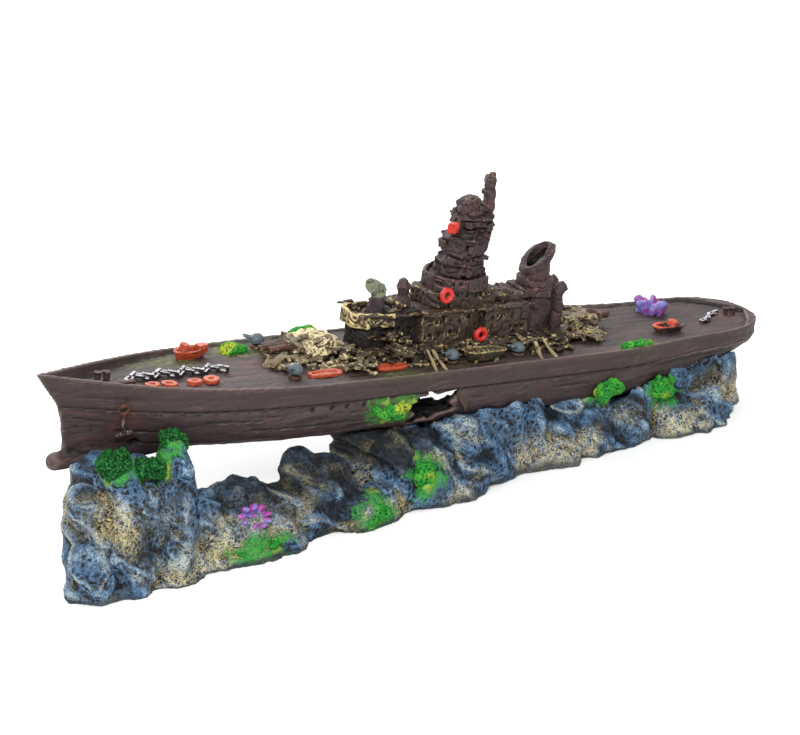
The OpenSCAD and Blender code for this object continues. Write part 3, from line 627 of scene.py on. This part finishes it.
def rock_relief(p, folds, fold, dark):
    """How far the rock stands out at each point: leaning folds, finer folds, lumps and pits."""
    crags = 3.2 * (0.42 - np.abs(fold))
    crags += (1.8 + 1.0 * dark) * (0.4 - np.abs(soft_noise(folds, (13, 9, 4.2), 13)))
    lumps = 0.9 * rough_noise(p, 11.0, 3, 2)
    worms, rims = pebbles(p + 1.0 * warp(p, 3.4, 360), 2.3, 9)
    pits = 0.3 * groove(rims, 0.2) - 0.65 * groove(worms, 0.32)
    pits *= 0.75 + 0.5 * soft_noise(p, 16.0, 17)
    return crags + lumps + pits


def mark_rock(mesh, p, fold, dark):
    """Stores where the rock's paint is cream, dark, crested, green, painted with shade in its clefts, and
    shaded at its foot.
    """
    bow_band = groove(p[:, 2] - CREAM_BAND + 0.12 * (p[:, 0] - BOW_END), 8.0) * smooth((-126 - p[:, 0]) / 10)
    patchy = smooth(rough_noise(p, 20.0, 51, 2) * 2.2 + 0.4)
    low_down = smooth((22 - p[:, 2]) / 16) * smooth((p[:, 0] + 158) / 16)
    keep(mesh, "cream", np.clip(patchy * low_down + bow_band * (0.3 + patchy), 0, 1))
    keep(mesh, "dark", dark)
    keep(mesh, "crest", groove(fold, 0.12) * smooth(2 * soft_noise(p, 30.0, 19) + 0.6))
    # where painted shade darkens the deep clefts
    keep(mesh, "cleft", smooth((np.abs(fold) - 0.42) / 0.3))
    keep(mesh, "green", stain(p, "reef_moss", 380, 0.78, 0.16))
    keep(mesh, "foot", smooth(1.5 - p[:, 2] / 2.6))


def make_reef():
    """The reef: bent as a whole, folded into crags, then pitted all over."""
    reef = fine_copy("reef", "reef_base", 0.62)
    mesh = reef.data
    drawn = read_points(mesh)
    free = held_rock(drawn)
    rounded(reef, 11, free)
    p, n = read_points(mesh), read_normals(mesh)
    dark = dark_rock(p)
    folds = leaning(p + 3 * warp(p, 16.0, 350), 38)
    fold = soft_noise(folds, (26, 14, 8.0), 11)
    bent = p + free[:, None] * (3.2 * warp(p, 24.0, 300) + 1.3 * warp(p, 9.0, 330))
    moved = bent + n * (free * rock_relief(p, folds, fold, dark))[:, None]
    settled = smooth(drawn[:, 2] / 4)    # the foot stays flat on the floor
    moved[:, 2] = np.maximum(drawn[:, 2] * (1 - settled) + moved[:, 2] * settled, 0)
    write_points(mesh, moved)
    mark_rock(mesh, p, fold, dark)
    stand_for(reef, ["reef_base"], rock_paint())


# ---------------------------------------------------------------- hull and deck

PORTHOLES = [-65, -58, -50, -74]         # places along the hull
PORTHOLE_HEIGHT = -9.5
STRAKES = [-12.4, -16.8, -22.6]          # heights of the hull's plank seams
HAWSE = (-142.5, -22.5)                  # the dent under the anchor: along and up, in the ship's frame
RUST_RUN = (-149, -12)                   # the middle of the rust on the bow
BOARD = 2.6                              # width of a deck plank
GUNWALE_SEAM = -2.2                      # height of the seam along the gunwale


def plank_seams(q, levels, seed):
    """Wavy lines along the hull at the given heights, broken here and there."""
    total = 0
    for k, level in enumerate(levels):
        wave = 0.5 * soft_noise(q, 40.0, seed + k) + 0.12 * soft_noise(q, 5.0, seed + k + 9)
        broken = smooth(soft_noise(q, (18.0, 60.0, 60.0), seed + 20 + k) * 2 + 0.5)
        total = total + groove(q[:, 2] - level + wave, 0.45) * broken
    return np.clip(total, 0, 1)


def make_hull():
    """The hull: dented, with broken plank seams, cracks, portholes and rust."""
    hull = fine_copy("hull", "ship_hull", 0.8)
    mesh = hull.data
    p, n = read_points(mesh), read_normals(mesh)
    q = to_ship(p)
    outer = smooth((n[:, 1] * np.sign(q[:, 1]) + 0.1) * 3)
    seams = plank_seams(q, STRAKES, 60)
    crack = groove(soft_noise(q, (30.0, 30.0, 4.0), 71), 0.07) * smooth(soft_noise(q, 24.0, 73) * 2 - 0.1)
    dents = 0.3 * rough_noise(q, (20.0, 20.0, 7.0), 62, 3) + 0.12 * rough_noise(q, (3.0, 3.0, 1.1), 66, 2)
    ports = sum(groove(np.hypot(q[:, 0] - x, q[:, 2] - PORTHOLE_HEIGHT), 0.9) for x in PORTHOLES)
    hawse = groove(np.hypot(q[:, 0] - HAWSE[0], q[:, 2] - HAWSE[1]), 2.0)
    seat = smooth((q[:, 2] + DECK_DEPTH + 0.2) * -2)
    move_out(hull, seat * (dents - outer * (0.42 * seams + 0.4 * crack + 1.1 * ports + 1.6 * hawse)))
    keep(mesh, "seam", np.clip(groove(q[:, 2] + DECK_DEPTH + 0.5, 0.8) * 0.9 + ports + hawse, 0, 1) * outer)
    keep(mesh, "high", smooth((q[:, 2] + 15) / 8))
    from_rust = np.hypot((q[:, 0] - RUST_RUN[0]) / 9, (q[:, 2] - RUST_RUN[1]) / 13)
    keep(mesh, "rust", smooth(1 - from_rust) * outer)
    keep(mesh, "inside", 1 - outer)
    keep(mesh, "green", stain(p, "hull_moss", 385, 0.74, 0.16) * outer)
    stand_for(hull, ["ship_hull"], hull_paint())


def green_planks(q):
    """Where the planks are stained green, 0 to 1: along the port side and on the foredeck."""
    edge = smooth(soft_noise(q, 16.0, 95) * 1.6 + 0.4)
    port_side = smooth((-q[:, 1] - 18) / 6) * smooth(1 - np.abs(q[:, 0] + 12) / 60)
    fore = smooth((q[:, 1] + 2) / 8) * smooth(1.2 - np.abs(q[:, 0] + 108) / 60)
    return np.clip(port_side + fore, 0, 1) * edge * smooth((q[:, 2] + 4) / 3)


def make_deck():
    """The deck: planked on top, seamed along the gunwale, stained green here and there."""
    deck = fine_copy("deck_casting", "deck", 0.75)
    mesh = deck.data
    p, n = read_points(mesh), read_normals(mesh)
    q = to_ship(p)
    up = smooth((n[:, 2] - 0.6) * 4)
    side = smooth((np.abs(n[:, 1]) - 0.4) * 3)
    board = np.abs((q[:, 1] + 0.25 * soft_noise(q, 30.0, 81)) % BOARD - BOARD / 2)
    boards = groove(board - BOARD / 2, 0.3) * smooth(soft_noise(q, (26.0, BOARD, 9.0), 83) + 0.7)
    band = plank_seams(q, [GUNWALE_SEAM], 85)
    split = groove(soft_noise(q, (26.0, 9.0, 5.0), 88), 0.06) * smooth(soft_noise(q, 22.0, 89) * 2)
    dents = 0.22 * rough_noise(q, (14.0, 8.0, 5.0), 90, 3) + 0.1 * soft_noise(q, 1.4, 94)
    bottom = smooth((q[:, 2] + DECK_DEPTH - 0.3) * 3)
    lip = smooth((q[:, 2] - 0.2) / 0.8)
    worn = dents * (1 - 0.7 * lip) - 0.24 * boards * up - 0.34 * band * side - 0.35 * split * (1 - lip)
    move_out(deck, bottom * worn)
    keep(mesh, "green", np.maximum(green_planks(q), stain(p, "deck_moss", 387, 0.7, 0.2)))
    keep(mesh, "side", side)
    keep(mesh, "seam", groove(q[:, 2] + DECK_DEPTH, 0.7) * side)
    stand_for(deck, ["deck"], deck_paint())


# ---------------------------------------------------------------- superstructure and fittings

def windows(q, n, rows, pitch=3.1, width=0.75, height=0.8):
    """How deep each point lies in a row of small windows, 0 to 1. Rows are heights in the ship's frame."""
    along = q[:, 0] + 0.9 * q[:, 1] * (np.abs(n[:, 0]) > 0.6)
    wall = smooth((0.55 - np.abs(n[:, 2])) * 6)
    side = (q[:, 1] > 0).astype(np.int64)
    total = 0
    for k, row in enumerate(rows):
        shifted = along + k * 1.3
        across = np.abs(shifted % pitch - pitch / 2)
        inside = smooth((width - across) / 0.35 + 0.5) * smooth((height - np.abs(q[:, 2] - row)) / 0.35 + 0.5)
        there = chance(np.floor(shifted / pitch).astype(np.int64), k, side, 7) > 0.45
        total = np.maximum(total, inside * there)
    return total * wall


def weather(piece, lumps, seed, rows=()):
    """Wears a small casting: sagged, lumpy, with rows of sunken windows where rows are given."""
    mesh = piece.data
    p, n = read_points(mesh), read_normals(mesh)
    q = to_ship(p)
    worn = lumps * rough_noise(q, 3.2, 100 + seed, 3) + 0.3 * lumps * soft_noise(q, 0.9, 150 + seed)
    cuts = -lumps * groove(soft_noise(q, 5.0, 120 + seed), 0.12)
    holes = -1.0 * windows(q, n, rows) if rows else 0
    sagging = min(2.2 * lumps, 1.0) * warp(q, 7.0, 400)
    write_points(mesh, p + sagging + n * (worn + cuts + holes)[:, None])


def make_casting(name, node, paint, voxel, lumps, seed, rows=(), melt=0):
    """A worn copy of a small casting: lumps is the wear in millimetres, and melt softens edges first."""
    piece = fine_copy(name, node, voxel)
    if melt:
        rounded(piece, melt)
    weather(piece, lumps, seed, rows)
    stand_for(piece, [node], paint)


# ---------------------------------------------------------------- broken beams, ledges and plates

BAR_FACES = [(0, 1, 3, 2), (4, 6, 7, 5), (0, 4, 5, 1), (2, 3, 7, 6), (0, 2, 6, 4), (1, 5, 7, 3)]


def bar(middle, size, turn=0.0, lean=0.0):
    """The corners of a straight bar in the ship's frame; it leans up, then turns about the vertical."""
    corners = np.array(list(itertools.product((-0.5, 0.5), repeat=3))) * size
    c, s = math.cos(lean), math.sin(lean)
    corners = np.stack([corners[:, 0] * c - corners[:, 2] * s, corners[:, 1],
                        corners[:, 0] * s + corners[:, 2] * c], 1)
    c, s = math.cos(turn), math.sin(turn)
    corners = np.stack([corners[:, 0] * c - corners[:, 1] * s, corners[:, 0] * s + corners[:, 1] * c,
                        corners[:, 2]], 1)
    return corners + np.asarray(middle, float)


def heap(rng, middle, reach, count, length, thick=1.3):
    """Bars strewn over a field, mostly lying down."""
    bars = []
    for _ in range(count):
        at = np.array(middle) + rng.uniform(-1, 1, 3) * reach
        size = np.array([length, thick, thick]) * rng.uniform((0.35, 0.7, 0.7), (1.1, 1.7, 1.2))
        bars.append(bar(at, size, rng.uniform(0, math.pi), rng.uniform(-0.45, 0.45)))
    return bars


def ledge(rng, x0, x1, y, z, thick=1.1, step=3.4):
    """A battered ledge along a wall: a run of short bars, out of line, with gaps."""
    bars = []
    for x in np.arange(x0, x1, step):
        if rng.random() < 0.82:
            at = (x + step / 2, y + rng.normal() * 0.25, z + rng.normal() * 0.3)
            bars.append(bar(at, (step * 1.3, 1.6, thick), rng.normal() * 0.07, rng.normal() * 0.09))
    return bars


def posts(rng, x0, x1, y, z0, z1, pitch):
    """Short uprights along a wall, none quite plumb."""
    bars = []
    for x in np.arange(x0, x1, pitch):
        at = (x + rng.normal() * 0.5, y, (z0 + z1) / 2)
        size = ((z1 - z0) * rng.uniform(0.7, 1.1), 1.0, 1.0)
        bars.append(bar(at, size, rng.normal() * 0.3, math.pi / 2 + rng.normal() * 0.12))
    return bars


def ring_of_bars(rng, x, z, radius, count, length):
    """Stubs that stick out of a tower all round."""
    bars = []
    for turn in rng.uniform(0, 2 * math.pi, count):
        at = (x + radius * math.cos(turn), radius * math.sin(turn), z + rng.normal() * 0.6)
        size = (length * rng.uniform(0.7, 1.2), rng.uniform(1.6, 3.6), rng.uniform(1.6, 3.6))
        bars.append(bar(at, size, turn + rng.normal() * 0.4, rng.normal() * 0.3))
    return bars


def bracket(node, x, thick):
    """A bar from the tower's axis, at x, out to the fitting that it carries."""
    outer = to_ship(read_points(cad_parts[node].data)).mean(axis=0)
    inner = np.array([x, 0.0, outer[2]])
    reach = outer - inner
    size = (np.linalg.norm(reach), thick, thick)
    return bar((outer + inner) / 2, size, math.atan2(reach[1], reach[0]))


def mirrored(bars):
    """The same bars on the other side of the ship, their corners in the order that bar gives them."""
    return [(corners * (1, -1, 1))[[2, 3, 0, 1, 6, 7, 4, 5]] for corners in bars]


def rim_of_bars(x, z, radius, rake, size):
    """Lumps close together round the raked mouth of a pipe."""
    bars = []
    for turn in np.linspace(0, 2 * math.pi, 40, endpoint=False):
        along = radius * math.cos(turn)
        at = (x + along, radius * math.sin(turn), z + along * math.tan(rake))
        bars.append(bar(at, (size, size, size), turn))
    return bars


def make_debris(name, bars, paint, voxel, lumps, seed):
    """One piece out of many bars, fused and worn."""
    source = bmesh.new()
    for corners in bars:
        points = [source.verts.new(c * MM) for c in from_ship(corners)]
        for face in BAR_FACES:
            source.faces.new([points[k] for k in face])
    piece = remeshed(name, source, voxel)
    weather(piece, lumps, seed)
    stand_for(piece, [], paint)


def make_rubble(rng):
    """The wreckage round both gun houses, and along the gallery on the port side."""
    tan = resin_paint("rubble_paint", "#5f5340", "#19120d", "#c4b28a", "#4a3c2c", 0.9)
    mixed = resin_paint("gallery_rubble_paint", "#3a3027", "#0b0807", "#b8a26c", "#4d3d2c", 0.8)
    fore = heap(rng, (-57, 3, 8), (9, 8, 1.4), 26, 6, 1.8) + heap(rng, (-66, -6, 2), (10, 7, 1.2), 26, 6, 1.5)
    fore += heap(rng, (-47, -6, 5), (4, 6, 3), 22, 6, 1.5)
    make_debris("fore_rubble", fore, tan, 0.36, 0.3, 71)
    aft = heap(rng, (73, 2, 6), (8, 9, 2), 34, 6, 1.7) + heap(rng, (72, -9, 2.2), (9, 6, 1.6), 24, 6, 1.4)
    make_debris("after_rubble", aft, mixed, 0.36, 0.3, 72)
    side = heap(rng, (-32, -15, 4), (12, 3, 2.4), 40, 7) + heap(rng, (-8, -15.5, 5.4), (16, 2, 1), 26, 6)
    side += heap(rng, (30, -16, 5.2), (28, 2, 1.2), 44, 7) + heap(rng, (50, -19, 1.6), (12, 3, 1.4), 20, 8)
    side += heap(rng, (-12, -19, 1.2), (10, 2, 1), 10, 7)
    side += heap(rng, (-23, -12.5, 8.5), (6, 2.4, 4), 24, 6) + heap(rng, (-23, -7, 22), (2.5, 1.5, 2.4), 8, 5)
    side += ledge(rng, -26, 62, -16.4, 4.4) + posts(rng, -24, 60, -16.6, 0.4, 4, 5.5)
    make_debris("gallery_rubble", side, mixed, 0.34, 0.25, 73)


def make_ledges(rng):
    """Broken ledges and uprights along the walls of the deckhouses, the same on both sides."""
    dark = resin_paint("wall_ledge_paint", "#2e2420", "#080605", "#8a7350", "#3c2b26", 0.55)
    walls = ledge(rng, -13, 19, -13.4, 19.4) + ledge(rng, 19, 41, -12.3, 19.2)
    walls += ledge(rng, -25, -13, -10.6, 19.6) + ledge(rng, -41, -26, -9.6, 19.8)
    walls += ledge(rng, -40, -26, -8.4, 9.6, 0.9) + posts(rng, -12, 9, -12.7, 6, 19, 9)
    make_debris("wall_ledges", walls + mirrored(walls), dark, 0.34, 0.22, 74)


def make_tower_fittings(rng):
    """Litter on the roofs, and stubs that stick out all round the tower and the mast."""
    brown = resin_paint("tower_fitting_paint", "#3a2c2a", "#120c0b", "#6c5046", "#4a312c")
    roofs = heap(rng, (-18, -3, 21), (5, 6, 0.8), 14, 5) + heap(rng, (32, 0, 22.6), (7, 5, 0.8), 22, 5)
    roofs += heap(rng, (12, 0, 33.0), (7, 9, 0.8), 14, 4) + heap(rng, (-34, 0, 18.6), (6, 6, 0.8), 12, 4)
    make_debris("roof_fittings", roofs, brown, 0.34, 0.22, 75)
    stubs = []
    rings = [(11.5, 35, 9.6), (12, 39.5, 9), (12.6, 44.5, 9.4), (13.6, 49, 8), (14.8, 54, 8), (12.4, 60, 5.4)]
    for along, height, radius in rings:
        stubs += ring_of_bars(rng, along, height, radius, 8, 3.2)
    stubs += ring_of_bars(rng, 22, 66, 1.6, 5, 2.0) + ring_of_bars(rng, 22.4, 71, 1.2, 4, 1.8)
    stubs.append(bracket("signal_box", 14, 2.6))
    make_debris("tower_fittings", stubs, brown, 0.34, 0.22, 76)


def make_wreckage():
    """All the loose wreckage, drawn from one run of random numbers."""
    rng = np.random.default_rng(5)
    make_rubble(rng)
    make_ledges(rng)
    make_tower_fittings(rng)


FUNNEL_AT, FUNNEL_FOOT = 51.4, 24.0      # place along the deck and height of the funnel's foot
FUNNEL_RADIUS = 5.7                      # to the middle of its wall
MOUTH_RAKE = math.radians(42)            # how its mouth is cut
MOUTH_LOW = 4.6                          # height of the cut's low point above the foot
MOUTH_BEFORE = 7.2                       # how far that point lies before the middle


def make_funnel(rim_paint):
    """The funnel, near-black inside, with a thick rolled rim round its raked mouth."""
    mouth = FUNNEL_FOOT + MOUTH_LOW + MOUTH_BEFORE * math.tan(MOUTH_RAKE)
    casing = fine_copy("funnel_casing", "funnel", 0.4)
    weather(casing, 0.3, 14)
    q = to_ship(read_points(casing.data))
    across = np.hypot(q[:, 0] - FUNNEL_AT, q[:, 1])
    # near-black over the inner wall, above the foot
    keep(casing.data, "near_black_inside", smooth(3 * (FUNNEL_RADIUS - across)) * (q[:, 2] > FUNNEL_FOOT))
    stand_for(casing, ["funnel"], funnel_paint())
    rim = rim_of_bars(FUNNEL_AT, mouth, FUNNEL_RADIUS, MOUTH_RAKE, 3.0)
    make_debris("funnel_rim", rim, rim_paint, 0.34, 0.3, 77)


def make_superstructure():
    """The gallery, the houses, the bridge and its tower, the funnel and the plate torn from the hull."""
    dark = resin_paint("dark_structure_paint", "#3a2d24", "#070504", "#a88f60", "#4c392e", 0.75, 0.25)
    cream = resin_paint("platform_paint", "#3a3025", "#0b0807", "#c4b07c", "#4a3c2c", 0.9, 0.13)
    # painted shade: near-black for the house in the shadow under the light platform, with tan brushed on its
    # edges
    black = resin_paint("painted_shade_house_paint", "#17110e", "#050302", "#6a5638", "#261b16", 0.5, 0.3)
    brown = resin_paint("brown_structure_paint", "#36292a", "#0e0a09", "#7a5a4e", "#4d302a", 0.65)
    tanned = resin_paint("tanned_structure_paint", "#332a22", "#0b0807", "#b39c68", "#42362a", 0.8, 0.23)
    make_casting("gallery", "gallery_deck", tanned, 0.5, 0.4, 1, rows=(2.4,))
    # the forward house, in painted shade
    make_casting("fore_house", "forward_house", black, 0.42, 0.4, 2, rows=(8.5, 12.5))
    make_casting("middle_house", "main_house", dark, 0.42, 0.35, 3, rows=(9.2, 15.4))
    make_casting("after_house", "aft_house", dark, 0.42, 0.4, 4, rows=(9.2, 15.4))
    make_casting("light_platform", "wing_platform", cream, 0.4, 0.4, 5)
    make_casting("director", "director_tower", director_paint(), 0.4, 0.3, 6)
    make_casting("light", "searchlight", brown, 0.35, 0.35, 7)
    make_casting("bridge_foot", "bridge_base", dark, 0.42, 0.4, 8, rows=(24.4,))
    make_casting("bridge_wings", "bridge", brown, 0.4, 0.4, 9, rows=(30.2,))
    make_casting("tower", "conning_tower", brown, 0.4, 0.5, 10, rows=(34.6, 39.8, 45.0), melt=36)
    make_casting("tower_top", "fire_control_top", brown, 0.38, 0.5, 11, melt=24)
    make_casting("mast", "foremast", brown, 0.35, 0.35, 12)
    make_casting("funnel_trunk", "funnel_base", brown, 0.4, 0.35, 13)
    make_funnel(brown)
    make_casting("cowls", "ventilator_cowls", brown, 0.38, 0.3, 15)
    make_casting("bitts", "bollards", brown, 0.35, 0.2, 16)
    make_casting("torn_plate", "breach_plate", dark, 0.3, 0.2, 17)


def make_guns_and_boats():
    """The guns and all that lies on the deck, from the boats to the anchors."""
    tan = resin_paint("tan_wreck_paint", "#6a5d48", "#1c150f", "#c9b88e", "#51432f", 0.9)
    bleached = resin_paint("bleached_resin_paint", "#86785a", "#1c150f", "#d6c79c", "#5f5038", 0.9, 0.1)
    pale = resin_paint("davit_paint", "#8a7a58", "#2a2118", "#d2c498", "#6a5a40", 0.8)
    rust = resin_paint("rust_gun_paint", "#46302a", "#120b09", "#8d7250", "#5a3526", 0.6)
    grey = gloss_paint("gun_grey_paint", "#4c585e", "#1a2024", "#8b989e")
    red = gloss_paint("red_paint", "#b3231a", "#4c0d09", "#d8564a")
    orange = gloss_paint("orange_paint", "#a54428", "#461708", "#cf7c56")
    boat = resin_paint("boat_paint", "#3a3224", "#120d09", "#b09c64", "#34382a", 0.85, 0.14)
    chain = chain_paint()
    make_casting("fore_gun_house", "forward_turret", bleached, 0.4, 0.6, 21)
    make_casting("fore_barrels", "forward_guns", rust, 0.35, 0.25, 22)
    make_casting("fore_wreckage", "forward_wreckage", tan, 0.32, 0.3, 23)
    make_casting("after_gun_house", "aft_turret", tan, 0.4, 0.6, 24)
    make_casting("after_barrels", "aft_guns", rust, 0.35, 0.25, 25)
    make_casting("after_wreckage", "aft_wreckage", tan, 0.32, 0.3, 26)
    make_casting("davits", "fallen_davits", pale, 0.3, 0.25, 27)
    make_casting("flak_mounts", "gun_mounts", rust, 0.3, 0.2, 28)
    make_casting("flak_shields", "gun_shields", grey, 0.28, 0.12, 29)
    make_casting("ribbed_boat", "lifeboat", boat, 0.3, 0.15, 30)
    make_casting("rings", "life_buoys", red, 0.25, 0.08, 31)
    make_casting("flag_box", "signal_box", red, 0.3, 0.2, 32)
    make_casting("rafts", "life_rafts", orange, 0.3, 0.2, 33)
    make_casting("reels", "cable_reels", orange, 0.3, 0.2, 34)
    make_casting("fore_launch", "wrecked_launch", orange, 0.3, 0.3, 35)
    make_casting("after_launch", "aft_launch", launch_paint(), 0.3, 0.3, 36)
    make_casting("anchor_chain", "fore_chain", chain, 0.25, 0.08, 37)
    make_casting("stern_chain", "aft_chain", chain, 0.25, 0.08, 38)
    make_casting("bower_anchors", "anchors", anchor_paint(), 0.3, 0.2, 39)


# ---------------------------------------------------------------- growth

def make_moss():
    """Tufted moss; the mounds on top of the bow pillar are darker and keep more of their lumps."""
    moss = moss_paint()
    for k, (name, node) in enumerate([("deck_growth", "deck_moss"), ("hull_growth", "hull_moss"),
                                      ("reef_growth", "reef_moss")]):
        piece = fine_copy(name, node, 0.4)
        mesh = piece.data
        p = read_points(mesh)
        mound = smooth((p[:, 2] - 34) / 6) * (p[:, 0] < -100)
        rounded(piece, 50, 1 - 0.4 * mound)
        tufts = 0.7 * (0.4 - pebbles(p, 1.2, 200 + k)[0]) + 0.5 * rough_noise(p, 2.6, 210 + k, 3)
        move_out(piece, tufts * (1 + 0.3 * mound))
        keep(mesh, "mound", mound)
        keep(mesh, "yellow", smooth(soft_noise(p, 9.0, 220 + k) * 3 - 0.7) * (1 - mound))
        stand_for(piece, [node], moss)


def make_coral(name, node, spread, paint):
    """A coral with swollen petals, drawn in towards its middle; gives back where its middle is."""
    piece = fine_copy(name, node, 0.3)
    rounded(piece, 6)
    p = read_points(piece.data)
    middle = p.mean(axis=0)
    write_points(piece.data, middle + (p - middle) * spread)
    move_out(piece, 0.55 + 0.5 * rough_noise(p, 2.2, 230, 2))
    stand_for(piece, [node], paint)
    return middle


def make_corals():
    """The two star corals; the one on the reef has a knot of short arms in its middle."""
    paint = coral_paint()
    make_coral("deck_star_coral", "deck_coral", (0.95, 0.95, 1.0), paint)
    middle = make_coral("reef_star_coral", "reef_coral", (1.0, 0.9, 0.6), paint)
    heart = heap(np.random.default_rng(8), to_ship(middle[None])[0], (2.6, 1.2, 1.2), 14, 3.2)
    make_debris("reef_coral_heart", heart, paint, 0.3, 0.2, 78)


# ---------------------------------------------------------------- air parts, floor, light and camera

def paint_air_parts():
    """Materials for the air parts, which keep their CAD shapes."""
    black = moulded_paint("black_plastic_paint", "#15161a", "#24262b", 0.45, 1.5)
    looks = {
        "riser_tube": tube_paint(),
        "air_socket": black,
        "air_inlet": black,
        "inlet_seal": moulded_paint("rubber_paint", "#0e0e0f", "#1a1a1c", 0.7, 0.8),
        "air_stone": moulded_paint("stone_paint", "#7f8691", "#4b515b", 0.85, 0.6),
    }
    for node, material in looks.items():
        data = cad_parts[node].data
        if not data.materials:
            data.materials.append(material)
        for k in range(len(data.materials)):
            data.materials[k] = material


def make_floor():
    """A plain pale floor, large enough for every view."""
    mesh = bpy.data.meshes.new("floor")
    reach = 3.0
    corners = [(-reach, -reach, 0), (reach, -reach, 0), (reach, reach, 0), (-reach, reach, 0)]
    mesh.from_pydata(corners, [], [(0, 1, 2, 3)])
    floor = bpy.data.objects.new("floor", mesh)
    bpy.context.collection.objects.link(floor)
    p = Paint("floor_paint", "#f2f2f2")
    p.lay("#ededed", p.band(p.noise(60.0), 0.4, 0.6), 0.5)
    mesh.materials.append(p.done(roughness=0.9, grain=0.02, grain_size=4.0, sheen=0.1))


def soft_box(name, at, aim, size, power):
    """A rectangular light at one place, turned to another. Metres and watts."""
    light = bpy.data.lights.new(name, "AREA")
    light.shape = "RECTANGLE"
    light.size, light.size_y = size
    light.energy = power
    lamp = bpy.data.objects.new(name, light)
    bpy.context.collection.objects.link(lamp)
    lamp.location = at
    lamp.rotation_mode = "QUATERNION"
    lamp.rotation_quaternion = (Vector(aim) - Vector(at)).to_track_quat("-Z", "Y")


def light_scene():
    """A white studio: even light all round, a key from before the port bow, and two fills from behind."""
    world = bpy.data.worlds.new("studio")
    world.use_nodes = True
    world.node_tree.nodes["Background"].inputs[0].default_value = (1.0, 1.0, 1.0, 1.0)
    world.node_tree.nodes["Background"].inputs[1].default_value = 0.75
    bpy.context.scene.world = world
    soft_box("key", (-0.55, -0.75, 0.95), (0, 0, 0.04), (0.5, 0.5), 16)
    soft_box("back", (0.5, 0.7, 0.8), (0, 0, 0.04), (0.7, 0.5), 6)
    soft_box("floor_behind", (-0.1, 0.75, 0.45), (0, 0.14, 0), (0.6, 0.3), 5)
    bpy.context.scene.view_settings.view_transform = "Standard"


def place_camera():
    """The photograph's view: from before the port bow, looking down on the deck."""
    azimuth, elevation, distance = math.radians(-32.64), math.radians(22.36), 1.1109
    target = Vector((-0.00635, 0.0, 0.0457))
    across = math.cos(elevation)
    back = Vector((math.sin(azimuth) * across, -math.cos(azimuth) * across, math.sin(elevation)))
    data = bpy.data.cameras.new("camera")
    data.lens = 119.5
    data.sensor_width = 36.0
    camera = bpy.data.objects.new("camera", data)
    bpy.context.collection.objects.link(camera)
    camera.location = target + back * distance
    camera.rotation_mode = "QUATERNION"
    camera.rotation_quaternion = (-back).to_track_quat("-Z", "Y")
    bpy.context.scene.camera = camera


make_reef()
make_hull()
make_deck()
make_superstructure()
make_guns_and_boats()
make_wreckage()
make_moss()
make_corals()
paint_air_parts()
make_floor()
light_scene()
place_camera()
